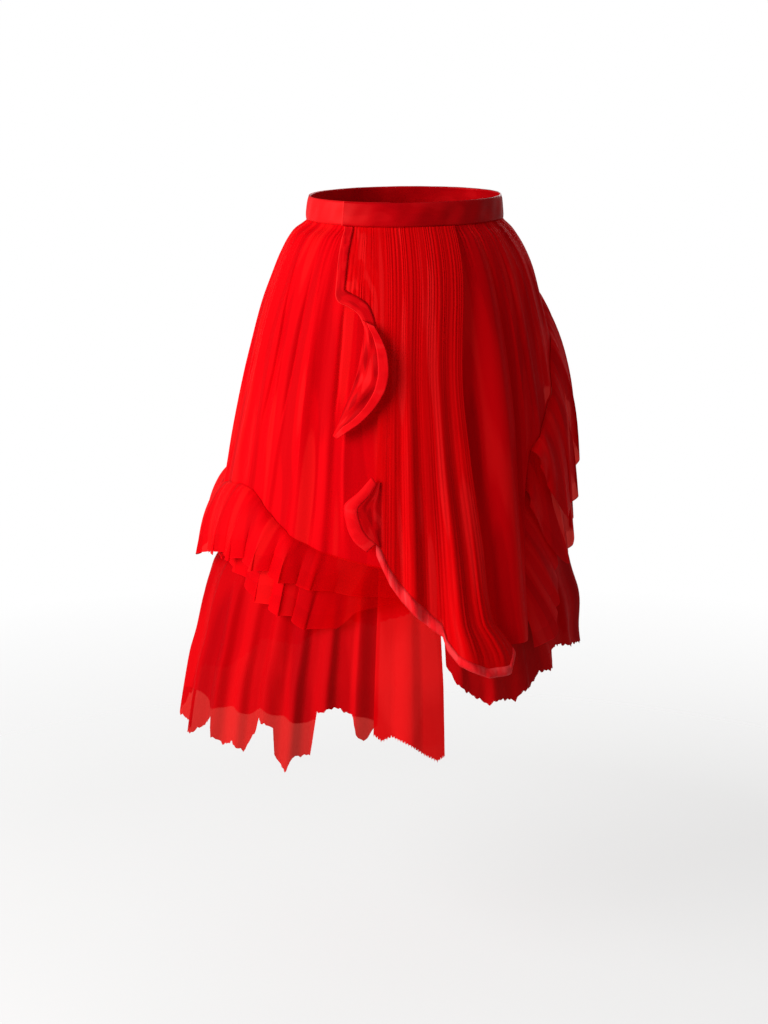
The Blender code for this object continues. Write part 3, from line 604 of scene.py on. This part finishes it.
def wrapPlace(u, v):
    height = clothTop + v * (read(wrapHem, u, 1, False)[0] - clothTop)
    guides = read(pleatGuides, -height, len(guideShares))
    across = np.zeros_like(u)
    for k, (low, high) in enumerate(zip(guideShares, guideShares[1:])):
        part = np.clip((u - low) / (high - low), 0, 1)
        inside = (u >= low) & ((u < high) | (high == 1))
        across = np.where(inside, guides[k] + (guides[k + 1] - guides[k]) * part, across)
    return skin(angleAt(across, height), height, wrapLift(u, v, height))


# share across, depth of the hem band along the pleats
hemBandDepths = ((0, 12), (0.27, 17), (0.3, 21), (0.6, 21), (0.7, 17), (0.78, 13), (1, 12))
bandUnderlap = 0.8


def bandShareAt(u):
    long = clothTop - read(wrapHem, u, 1, False)[0]
    reachesHem = u >= guideShares[2] - 1e-6
    deep = read(hemBandDepths, u, 1, False)[0]
    return np.where(reachesHem, deep / long, 0), np.where(reachesHem, bandUnderlap / long, 0)


def wrapAbove(u, v):
    band, under = bandShareAt(u)  # its cloth runs on a little under the band
    return wrapPlace(u, v * (1 - band + under))


def wrapBand(u, v):
    share = guideShares[2] + (1 - guideShares[2]) * u
    band = bandShareAt(share)[0]
    flat = wrapPlace(share, 1 - band + band * v)
    inwards = flat / np.linalg.norm(flat[..., :2], axis=-1, keepdims=True) * np.array([1, 1, 0])
    plump, rolledIn = 2.3 * np.sin(np.pi * v), 1.2 * v**2
    return flat - inwards * (rolledIn - plump)[..., None]


sewCloth(
    "wrapFront", evenly(wrap["pleats"] * wrap["columnsEach"] + 1), evenly(150),
    wrapAbove, pleatedOrganza, ["wrap_front_panel"],
    {"wide": 0.30, "long": 0.54, "area": 0.09, "on": ["satinWaistband"]}, free=(),
)
sewCloth(
    "wrapHemBand", evenly(wrap["pleatsOverBand"] * wrap["columnsEach"] + 1),
    evenly(5), wrapBand, hemSatin, ["wrap_hem_band"],
    {"wide": 0.30, "long": 0.012, "on": ["wrapFront"]}, thick=0.5,
)

# The binding down the first part of the wrap's free edge.
topEdgePath = (
    # share along, angle and height of the free edge, angle and height of the sewn edge
    (0, -44.2, clothTop - 0.4, -39.2, clothTop - 0.4),
    (0.2, -40.5, -31, -35.9, -31),
    (0.4, -38.9, -52, -34.9, -52),
    (0.55, -37.7, -73, -34.2, -73),
    (0.66, -36.7, -96, -33.8, -89.4),
    (0.72, -35.0, -104, -32.0, -93.2),
    (0.80, -30.7, -109, -28.4, -97.3),
    (0.90, -26.2, -118, -23.4, -106.8),
    (0.95, -24.2, -129, -20.7, -123.0),
    (1, -22.6, -141, -19.6, -137.6),
)


def topEdgePlace(u, v):
    angle, height, sewnAngle, sewnHeight = read(topEdgePath, u, 4)
    angle = angle + (sewnAngle - angle) * v
    height = height + (sewnHeight - height) * v
    plump = (0.9 + 0.7 * np.sin(17 * u)) * np.sin(np.pi * np.clip(v, 0, 1)) ** 0.8
    plump = plump * fade(u, 0, 0.1) * (1 - fade(u, 0.9, 1))
    lap = fade(v, 0.6, 1)  # its sewn edge laps over the first pleat
    angle = angle + 0.9 * lap * (1 - 0.4 * fade(u, 0.55, 0.75))
    height = height + 1.6 * lap * fade(u, 0.55, 0.7)
    return skin(angle, height, wrapLevel(height) + 0.3 + plump + 0.5 * lap)


sewCloth(
    "topEdgeBand", evenly(90), evenly(7), topEdgePlace, turnedSatin,
    ["top_edge_band"], {"wide": 0.15, "long": 0.012, "on": ["wrapFront"]}, free=("top",),
    thick=0.5,
)

# The cascade: the free edge turns outwards and hangs as a leaf.
leafRows = (
    # share down, angle and height of the fold line, angle and height of the bound edge, lift of the edge
    (0.0, -24.2, -124, -19.6, -130, 19),
    (0.14, -23.4, -138, -16.4, -148, 22),
    (0.28, -23.9, -161, -14.5, -166, 24),
    (0.42, -24.8, -185, -14.0, -186, 25),
    (0.56, -26.2, -204, -14.8, -204, 25),
    (0.70, -27.9, -224, -17.4, -224, 24),
    (0.84, -29.8, -245, -22.2, -246, 22),
    (0.94, -31.2, -258, -27.3, -261, 20),
    (1.0, -32.0, -266, -30.2, -269, 19),
)
leafAcross = (
    # share across, share of the way from the fold to the bound edge, share of the lift
    (0.0, 0.62, 0.0), (0.2, 0.34, 0.02), (0.36, 0.10, 0.08), (0.46, 0.0, 0.30), (0.56, 0.10, 0.58),
    (0.74, 0.42, 0.92), (1.0, 1.0, 1.0),
)


def leafPoints(down, across):
    foldAngle, foldHeight, edgeAngle, edgeHeight, lift = read(leafRows, down, 5)
    way, out = read(leafAcross, across, 2)
    angle = foldAngle + (edgeAngle - foldAngle) * way
    height = foldHeight + (edgeHeight - foldHeight) * way
    rest = wrapLevel(height) + 1.7
    return skin(angle, height, rest + (lift - rest) * out)


def leafEdgeAt(down):
    fromTurn = leafPoints(down, np.ones_like(down)) - leafPoints(down, np.full_like(down, 0.56))
    wide = np.linalg.norm(fromTurn, axis=-1)
    return 1 - np.clip(bindingDeep / wide, 0, 0.62) * 0.44


def leafCloth(u, v):
    points = leafPoints(v, u * leafEdgeAt(v))
    crumple = 2.4 * np.sin(2 * np.pi * (2.1 * v + 1.1 * u))
    crumple = crumple + 1.3 * np.sin(2 * np.pi * (4.3 * v - 0.8 * u) + 1)
    middle = fade(u, 0.5, 0.66) * (1 - fade(u, 0.84, 1)) * np.sin(np.pi * v)
    out = points / np.linalg.norm(points[..., :2], axis=-1, keepdims=True) * np.array([1, 1, 0])
    return points + out * (crumple * middle)[..., None]


def leafBinding(u, v):
    start = leafEdgeAt(v)
    return leafPoints(v, start + (1 - start) * u)


sewCloth(
    "upperCascade", evenly(70), evenly(80), leafCloth, leafOrganza,
    ["upper_cascade_fold"],
    {"wide": 0.055, "long": 0.15, "area": 0.0070, "on": ["topEdgeBand"]}, free=(),
)
sewCloth(
    "upperCascadeBinding", evenly(9), evenly(80), leafBinding, edgeSatin,
    ["upper_cascade_binding"], {"wide": 0.012, "long": 0.16, "on": ["upperCascade"]},
    thick=0.5,
)

# The second, smaller leaf: share down, angle and height of its bound edge, and of the binding's inner edge.
lowerEdge = (
    (0, -19.0, -316), (0.16, -22.5, -333), (0.38, -27.0, -353), (0.6, -26.2, -374), (0.82, -24.0, -395),
    (1, -20.0, -410),
)
lowerInside = (
    (0, -17.4, -323), (0.16, -19.2, -337), (0.38, -22.7, -356), (0.6, -21.9, -372), (0.82, -20.0, -388),
    (1, -17.4, -399),
)
# share across, share of the lift
lowerLeafCurl = ((0, 0.7), (0.12, 0.92), (0.3, 1), (0.45, 0.86), (0.7, 0.42), (1, 0))
lowerLeaf = {
    # angle and height of its corners inside the binding
    "topLeft": (-17.3, -323),
    "topRight": (-16.0, -323),
    "footLeft": (-17.3, -399),
    "footRight": (-15.8, -405),
    "lift": 10,
    "bindingShare": 0.45,
}


def lowerLift(across, height, v):
    out = np.sin(np.pi * np.clip(0.12 + 0.8 * v, 0, 1))
    curl = lowerLeaf["lift"] * read(lowerLeafCurl, across, 1)[0]
    return wrapLevel(height) + 1.7 + curl * out - 1.8 * fade(across, 0.85, 1)


def lowerCloth(u, v):
    top = line(lowerLeaf["topLeft"], lowerLeaf["topRight"])
    foot = line(lowerLeaf["footLeft"], lowerLeaf["footRight"])
    left = tuple((row[0], row[1] + 0.1, row[2]) for row in lowerInside)
    right = line(lowerLeaf["topRight"], lowerLeaf["footRight"])
    angle, height = patch(top, foot, left, right, u, v)
    across = lowerLeaf["bindingShare"] + (1 - lowerLeaf["bindingShare"]) * u
    return skin(angle, height, lowerLift(across, height, v))


def lowerBinding(u, v):
    outside, inside = read(lowerEdge, v), read(lowerInside, v)
    angle, height = (a + (b - a) * u for a, b in zip(outside, inside))
    return skin(angle, height, lowerLift(lowerLeaf["bindingShare"] * u, height, v))


sewCloth(
    "lowerCascade", evenly(24), evenly(50), lowerCloth, leafOrganza,
    ["lower_cascade_fold"],
    {"wide": 0.022, "long": 0.09, "area": 0.0017, "on": ["wrapFront"]}, free=(),
)
sewCloth(
    "lowerCascadeBinding", evenly(9), evenly(60), lowerBinding, edgeSatin,
    ["lower_cascade_binding"], {"wide": 0.016, "long": 0.11, "on": ["lowerCascade"]},
    thick=0.5,
)
print("wrap front made")


# How the outer panels' edges run on behind what they are sewn to.
panelTuck = {
    "side": 0.5,  # degrees behind the next panel's edge
    "sideBack": 0.8,
    "top": 2.5,  # up behind the waistband
    "topBack": 1.5,
    "foot": 3,  # down behind the ruffle
    "footBack": 0.6,
}
waistGathers = {"deep": 2.1, "reach": 17, "pitch": 2.3, "start": 0.7}


def outerLift(angle, height):
    folds = foldLift(panelFolds, angle, height) + creaseLift(creases, angle, height)
    return folds + gathers(angle, height, **waistGathers)


def betweenEdges(top, foot, u, v, soft=True):
    # angles and heights between two seams, with straight sides
    return patch(top, foot, line(top[0][1:], foot[0][1:]), line(top[-1][1:], foot[-1][1:]), u, v, soft)


def sewPanel(name, node, top, foot, cut, rows=110):
    def place(u, v):
        angle, height = betweenEdges(top, foot, u, v)
        tucked = fade(u, 0.97, 1)
        first, last = v < 1e-6, v > 1 - 1e-6
        lift = outerLift(angle, height) - panelTuck["sideBack"] * tucked
        lift = lift - panelTuck["topBack"] * first - panelTuck["footBack"] * last
        height = height + panelTuck["top"] * first - panelTuck["foot"] * last
        return skin(angle + panelTuck["side"] * tucked, height, lift)

    across, down = shares(foot, 1 / 220), evenly(rows)
    sewCloth(name, across, down, place, organza, [node], cut, free=())


# Seams and hems: share across, angle, height.
leftTierSeam = (
    # share across, angle, height
    (0, leftSeam + seamTurn, -365), (0.17, -84, -352), (0.33, -69, -347), (0.43, -60.5, -360),
    (0.55, -50, -389), (0.63, -43, -402), (0.71, -36, -413), (0.82, -26, -423), (1, -10, -436),
)
rightSeamPath = (
    (0, 5, -535), (0.28, 30, -535), (0.35, 32.8, -510), (0.42, 35, -420), (0.48, 37, -350),
    (0.55, 41, -300), (0.62, 48, -278), (0.72, 59, -236), (0.86, 75, -165),
    (1, rightSeam - seamTurn, -113),
)
backRightSeamPath = (
    (0, rightSeam + seamTurn, -113), (0.3, 118, -148), (0.65, 149, -195),
    (1, centreBack - seamTurn, -240),
)
backLeftSeamPath = (
    (0, -centreBack + seamTurn, -240), (0.35, -151, -285), (0.7, -122, -335),
    (1, leftSeam - seamTurn, -365),
)


def waistLine(start, end):
    return line((start, clothTop), (end, clothTop))


sewPanel(
    "leftFrontPanel", "left_front_panel", waistLine(leftSeam + seamTurn, -10), leftTierSeam,
    {"wide": 0.34, "long": 0.43, "area": 0.13, "on": ["satinWaistband"]},
)
sewPanel(
    "rightFrontPanel", "right_front_panel", waistLine(5, rightSeam - seamTurn), rightSeamPath,
    {"wide": 0.30, "long": 0.53, "area": 0.10, "on": ["satinWaistband"]},
)
sewPanel(
    "backRightPanel", "back_right_panel", waistLine(rightSeam + seamTurn, centreBack - seamTurn),
    backRightSeamPath, {"wide": 0.28, "long": 0.24, "area": 0.05, "on": ["satinWaistband"]}, rows=70,
)
sewPanel(
    "backLeftPanel", "back_left_panel", waistLine(-centreBack + seamTurn, leftSeam - seamTurn),
    backLeftSeamPath, {"wide": 0.30, "long": 0.36, "area": 0.10, "on": ["satinWaistband"]},
)
print("outer panels made")


def waves(share, count, phase):
    turn = 2 * np.pi * (count * share + phase)
    turn = turn + 0.7 * np.sin(2 * np.pi * (1.7 * share + phase)) + 0.4 * np.sin(2 * np.pi * 3.1 * share)
    return np.sin(turn) * (0.82 + 0.18 * np.sin(2 * np.pi * 2.3 * share + 2 * phase)), turn


wholeRuffle = ((0, 1), (1, 1))
tuckedRuffle = ((0, 1), (0.45, 1), (0.65, 0.65), (0.8, 0.4), (0.9, 0.22), (1, 0.12))  # flat again to the wrap


def sewRuffle(name, node, seam, hem, hang, cut, fullness=wholeRuffle, material=organza):
    top = tuple((share, angle, height - 2 * seamGap) for share, angle, height in seam)
    rise = hang["endLift"] - hang["startLift"]

    def place(u, v):
        angle, height = betweenEdges(top, hem, u, v)
        seamAngle, seamHeight = read(top, u)
        base = foldLift(panelFolds, seamAngle, seamHeight)
        wave, turn = waves(u, hang["count"], hang["phase"])
        flat = read(fullness, u, 1)[0]
        inside = fade(u, 0, 0.3) * (1 - fade(u, 0.88, 1))
        angle = angle + hang["swing"] * np.sin(2 * turn + 0.6) * v**1.1 * flat * inside
        height = height - 3.5 * np.cos(turn - 0.8) * v**2 * flat * inside
        small = np.sin(turn * 4.3 + 1.1) * 0.6 * np.exp(-v * 12) * np.clip(v * 25, 0, 1)
        ends = fade(u, 0, 0.1) * (1 - fade(u, 0.9, 1))  # the waves die out where the next strip is joined on
        full = rise * (v**0.5 + 0.3 * np.sin(np.pi * v**0.8)) + (hang["high"] * v**0.8 * wave + small) * ends
        tucked = fade(u, 0.97, 1)
        return skin(angle + 0.5 * tucked, height, base + hang["startLift"] + full * flat - 0.8 * tucked * v)

    across, down = shares(hem, 1 / 240), evenly(40)
    sewCloth(name, across, down, place, material, [node], cut)


leftTierHem = (
    (0, leftSeam + seamTurn, -462), (0.12, -88, -452), (0.3, -73, -436), (0.43, -63, -437),
    (0.55, -53, -446), (0.66, -43, -457), (0.76, -35, -462), (0.88, -25, -467), (1, -12, -470),
)
leftUnderHem = (
    (0, leftSeam + seamTurn, -456), (0.3, -73, -444), (0.4, -66, -455), (0.47, -60, -474),
    (0.57, -51, -494), (0.66, -44, -502), (0.74, -38, -514), (0.84, -28.5, -513), (0.90, -24, -492),
    (1, -12, -478),
)
backLeftHem = (
    (0, -centreBack + seamTurn, -336), (0.35, -151, -382), (0.7, -122, -430),
    (1, leftSeam - seamTurn, -462),
)
backRightHem = (
    (0, rightSeam + seamTurn, -258), (0.3, 118, -262), (0.65, 149, -293),
    (1, centreBack - seamTurn, -336),
)
rightSideSeam = (
    (0, 41, -300), (0.14, 48, -278), (0.35, 59, -236), (0.67, 75, -165), (1, rightSeam - seamTurn, -113),
)
rightUpperHem = (
    (0, 40.5, -318), (0.1, 46, -352), (0.22, 55, -394), (0.4, 66, -372), (0.6, 76, -330),
    (0.8, 85, -282), (1, rightSeam - seamTurn, -258),
)
rightLowerSeam = (
    (0, 37.6, -350), (0.12, 41.5, -300), (0.26, 48, -278), (0.45, 59, -236), (0.72, 75, -165),
    (1, rightSeam - seamTurn, -113),
)
rightLowerHem = (
    (0, 36.5, -368), (0.1, 46, -420), (0.2, 56, -456), (0.4, 67, -440), (0.6, 77, -410),
    (0.8, 85, -378), (1, rightSeam - seamTurn, -352),
)
rightEndSeam = ((0, 32.8, -510), (0.4, 35, -420), (0.75, 37, -350), (1, 40.6, -301))
rightEndHem = (
    (0, 34, -552), (0.14, 45, -551), (0.34, 49, -520), (0.6, 53, -470), (0.8, 54, -430), (1, 50, -385),
)

sewRuffle(
    "leftTierUpper", "left_tier_upper", leftTierSeam, leftTierHem,
    {"startLift": 0.9, "endLift": 20, "high": 8.5, "count": 8, "phase": 0.1, "swing": 1.9},
    {"wide": 0.42, "long": 0.10, "area": 0.034, "on": ["leftFrontPanel"]}, tuckedRuffle, tierOrganza,
)
sewRuffle(
    "leftTierLower", "left_tier_lower", leftTierSeam, leftUnderHem,
    {"startLift": -1.9, "endLift": 7, "high": 5, "count": 8, "phase": 0.1, "swing": 1.7},
    {"wide": 0.40, "long": 0.11, "area": 0.040, "on": ["leftFrontPanel"]}, tuckedRuffle, tierOrganza,
)
sewRuffle(
    "backRuffleLeft", "back_ruffle_left", backLeftSeamPath, backLeftHem,
    {"startLift": 0.6, "endLift": 19, "high": 7, "count": 6, "phase": 0.35, "swing": 2.2},
    {"wide": 0.40, "long": 0.11, "area": 0.038, "on": ["backLeftPanel"]},
)
sewRuffle(
    "backRuffleRight", "back_ruffle_right", backRightSeamPath, backRightHem,
    {"startLift": 0.6, "endLift": 18, "high": 7, "count": 6, "phase": 0.6, "swing": 2.2},
    {"wide": 0.34, "long": 0.145, "area": 0.04, "on": ["backRightPanel"]},
)
sewRuffle(
    "rightRuffleUpper", "right_ruffle_upper", rightSideSeam, rightUpperHem,
    {"startLift": 0.9, "endLift": 17, "high": 5.5, "count": 5, "phase": 0.2, "swing": 1.7},
    {"wide": 0.32, "long": 0.16, "area": 0.03, "on": ["rightFrontPanel"]},
)
sewRuffle(
    "rightRuffleLower", "right_ruffle_lower", rightLowerSeam, rightLowerHem,
    {"startLift": -2.2, "endLift": 8, "high": 4, "count": 5, "phase": 0.2, "swing": 1.5},
    {"wide": 0.34, "long": 0.24, "area": 0.045, "on": ["rightFrontPanel"]},
)
sewRuffle(
    "rightRuffleEnd", "right_ruffle_end", rightEndSeam, rightEndHem,
    {"startLift": -4.6, "endLift": 2, "high": 2.2, "count": 4, "phase": 0.3, "swing": 0.7},
    {"wide": 0.24, "long": 0.09, "area": 0.013, "on": ["rightFrontPanel"]},
)
print("ruffles made")

# The underskirt hangs inside the outer cloth and comes out to it again at its foot.
underStandoff = (
    # depth below the waist, distance off the hanging shape
    (-clothTop, -1.7), (45, -7), (110, -14), (200, -19), (460, -18), (520, -12), (555, -8), (590, -3),
    (700, -2),
)
slitLeft, slitRight = -17.0, 3.0
slitGap = 0.25


def underLift(angle, height):
    free = np.clip((-height - 400) / 200, 0, 1)
    folds = foldLift(underskirtFolds, angle, height)
    angleSide = fade(np.abs(angle), 45, 75)
    left = 15 * fade(-height, 430, 480) - 6 * fade(-height, 500, 590)
    right = 16 * fade(-height, 380, 470) - 19 * fade(-height, 500, 590)
    leftShare = 0.5 - 0.5 * np.sin(np.radians(angle))
    spread = angleSide * (leftShare * left + (1 - leftShare) * right)
    return read(underStandoff, -height, 1)[0] + folds * (0.35 + 0.65 * free) + spread


def sewUnderskirt(name, node, start, end, hem, cut, material=chiffon, tuck=(0.6, 1.4)):
    # tuck: how many degrees on, and how far back, its last edge goes behind the next piece's
    def place(u, v):
        angle, height = betweenEdges(waistLine(start, end), hem, u, v, False)
        frayed = 1.3 * np.sin(310 * u + start) + 1.1 * np.sin(173 * u + 2 * start)
        height = height + frayed * fade(v, 0.95, 1)
        tucked = fade(u, 0.95, 1)
        first = v < 1e-6
        lift = underLift(angle, height) - tuck[1] * tucked - 0.5 * first
        return skin(angle + tuck[0] * tucked, height + 2.5 * first, lift)

    across, down = shares(hem, 1 / 130), evenly(110)
    sewCloth(name, across, down, place, material, [node], cut)


leftUnderskirtHem = (
    (0, leftSeam + seamTurn, -664), (0.07, -92, -672), (0.17, -84, -681), (0.27, -76, -684),
    (0.33, -71.3, -667), (0.38, -67, -652), (0.395, -65.8, -676), (0.437, -62.5, -686),
    (0.487, -58.5, -677), (0.53, -55, -688), (0.57, -51.8, -661), (0.587, -50.4, -640),
    (0.655, -45.2, -647), (0.665, -44.4, -686), (0.71, -40.5, -704), (0.735, -38.5, -683),
    (0.79, -34.1, -679), (0.81, -32.6, -622), (0.865, -28, -614), (0.935, -22.5, -624),
    (0.952, -21.6, -648), (0.97, -20, -656), (1, slitLeft - slitGap, -634),
)
apronHem = (
    (0, slitLeft, -648), (0.12, -14.8, -656), (0.25, -12.0, -650), (0.5, -7.0, -661), (0.7, -3.1, -675),
    (0.88, 0.5, -684), (1, 2.6, -678),
)
rightUnderskirtHem = (
    (0, slitRight + 0.7, -562), (0.03, 6.4, -584), (0.07, 9.6, -597), (0.11, 13, -607),
    (0.145, 16.4, -616), (0.17, 18.6, -610), (0.25, 26, -617), (0.28, 28.6, -605), (0.33, 32.8, -604),
    (0.38, 37.2, -588), (0.455, 43.8, -589), (0.49, 46.8, -566), (0.54, 51.2, -565), (0.66, 62, -577),
    (0.8, 75, -584), (0.9, 83, -574), (1, rightSeam - seamTurn, -590),
)
backRightUnderHem = (
    (0, rightSeam + seamTurn, -590), (0.12, 102, -610), (0.25, 114, -592), (0.4, 127, -622),
    (0.55, 140, -604), (0.72, 155, -634), (0.86, 168, -618), (1, centreBack - seamTurn, -640),
)
backLeftUnderHem = (
    (0, -centreBack + seamTurn, -640), (0.14, -169, -622), (0.3, -155, -655), (0.45, -143, -636),
    (0.6, -131, -668), (0.75, -118, -645), (0.9, -106, -668), (1, leftSeam - seamTurn, -664),
)
sewUnderskirt(
    "underskirtLeft", "underskirt_left", leftSeam + seamTurn, slitLeft - slitGap, leftUnderskirtHem,
    {"wide": 0.36, "long": 0.69, "area": 0.20, "on": ["satinWaistband"]}, tuck=(1.3, 2.4),
)
sewUnderskirt(
    "underskirtApron", "underskirt_apron", slitLeft, slitRight - slitGap, apronHem,
    {"wide": 0.08, "long": 0.67, "area": 0.04, "on": ["satinWaistband"]}, apronChiffon, tuck=(0, 0),
)
sewUnderskirt(
    "underskirtRight", "underskirt_right", slitRight, rightSeam - seamTurn, rightUnderskirtHem,
    {"wide": 0.36, "long": 0.60, "area": 0.17, "on": ["satinWaistband"]},
)
sewUnderskirt(
    "underskirtBackRight", "underskirt_back_right", rightSeam + seamTurn, centreBack - seamTurn,
    backRightUnderHem, {"wide": 0.36, "long": 0.62, "area": 0.18, "on": ["satinWaistband"]},
)
sewUnderskirt(
    "underskirtBackLeft", "underskirt_back_left", -centreBack + seamTurn, leftSeam - seamTurn,
    backLeftUnderHem, {"wide": 0.36, "long": 0.66, "area": 0.19, "on": ["satinWaistband"]},
)
print("underskirt made")

studio = {
    "floorLevel": -1.03,
    "floorRadius": 1.9,
    "cameraAt": (-0.566, -3.053, 0.364),
    "lookAt": (-0.027, 0.005, -0.410),
    "lens": 83.9,
    "roomLight": 0.26,
}


lamps = (
    # name, place, aim, size, power
    ("sideSoftbox", (-2.85, -1.15, 0.6), (0, 0, -0.38), (2.4, 2.2), 134),
    ("backSoftbox", (1.4, 2.6, 1.1), (0, 0, -0.35), (1.4, 1.4), 26),
)


def layFloor():
    # a round pale floor whose rim fades into the white room
    bm = bmesh.new()
    bmesh.ops.create_circle(bm, cap_ends=True, segments=96, radius=studio["floorRadius"])
    bmesh.ops.translate(bm, verts=bm.verts, vec=(0, 0, studio["floorLevel"]))
    mesh = bpy.data.meshes.new("studioFloor")
    bm.to_mesh(mesh)
    bm.free()
    floor = bpy.data.objects.new("studioFloor", mesh)
    bpy.context.scene.collection.objects.link(floor)
    paint = newMaterial("paleStudioFloor")
    place = addNode(paint, "TexCoord")
    centre = addNode(paint, "Mapping", {"Vector": place.outputs["Object"]})
    centre.inputs["Location"].default_value = (0, 0, -studio["floorLevel"] / studio["floorRadius"])
    centre.inputs["Scale"].default_value = (1 / studio["floorRadius"],) * 3
    ring = addNode(paint, "TexGradient", {"Vector": centre.outputs["Vector"]}, gradient_type="SPHERICAL")
    solid = step(paint, ring.outputs["Fac"], 0.02, 0.6, 0, 0.4)
    grain = addNode(paint, "TexNoise", Scale=6.0, Detail=2.0)
    colour = blendColours(paint, grain.outputs["Fac"], "f6f5f4", "f1f0ef")
    surface = addNode(paint, "BsdfPrincipled", {"Base Color": colour, "Alpha": solid}, Roughness=0.9)
    addNode(paint, "OutputMaterial", {"Surface": surface.outputs["BSDF"]})
    mesh.materials.append(paint)


def addLamp(name, at, aim, size, power):
    lamp = bpy.data.lights.new(name, "AREA")
    lamp.shape = "RECTANGLE"
    lamp.size, lamp.size_y = size
    lamp.energy = power
    held = bpy.data.objects.new(name, lamp)
    held.location = at
    held.rotation_euler = (Vector(aim) - Vector(at)).to_track_quat("-Z", "Y").to_euler()
    bpy.context.scene.collection.objects.link(held)


def lightRoom():
    # the room looks white but lights the cloth only a little, so that one side of it stays dark
    world = bpy.data.worlds.new("softRoom")
    world.use_nodes = True
    tree = world.node_tree
    seen = tree.nodes["Background"]
    seen.inputs["Color"].default_value = (1, 1, 1, 1)
    seen.inputs["Strength"].default_value = 1.0
    given = tree.nodes.new("ShaderNodeBackground")
    given.inputs["Color"].default_value = (1, 1, 1, 1)
    given.inputs["Strength"].default_value = studio["roomLight"]
    path = tree.nodes.new("ShaderNodeLightPath")
    both = tree.nodes.new("ShaderNodeMixShader")
    tree.links.new(path.outputs["Is Camera Ray"], both.inputs["Fac"])
    tree.links.new(given.outputs["Background"], both.inputs[1])
    tree.links.new(seen.outputs["Background"], both.inputs[2])
    tree.links.new(both.outputs["Shader"], tree.nodes["World Output"].inputs["Surface"])
    bpy.context.scene.world = world


layFloor()
lightRoom()
for lamp in lamps:
    addLamp(*lamp)
bpy.context.scene.view_settings.view_transform = "Standard"

camera = bpy.data.cameras.new("camera")
camera.lens = studio["lens"]
camera.sensor_width = 36
cameraHeld = bpy.data.objects.new("camera", camera)
cameraHeld.location = studio["cameraAt"]
towards = Vector(studio["lookAt"]) - Vector(studio["cameraAt"])
cameraHeld.rotation_euler = towards.to_track_quat("-Z", "Y").to_euler()
bpy.context.scene.collection.objects.link(cameraHeld)
bpy.context.scene.camera = cameraHeld
print("studio made")
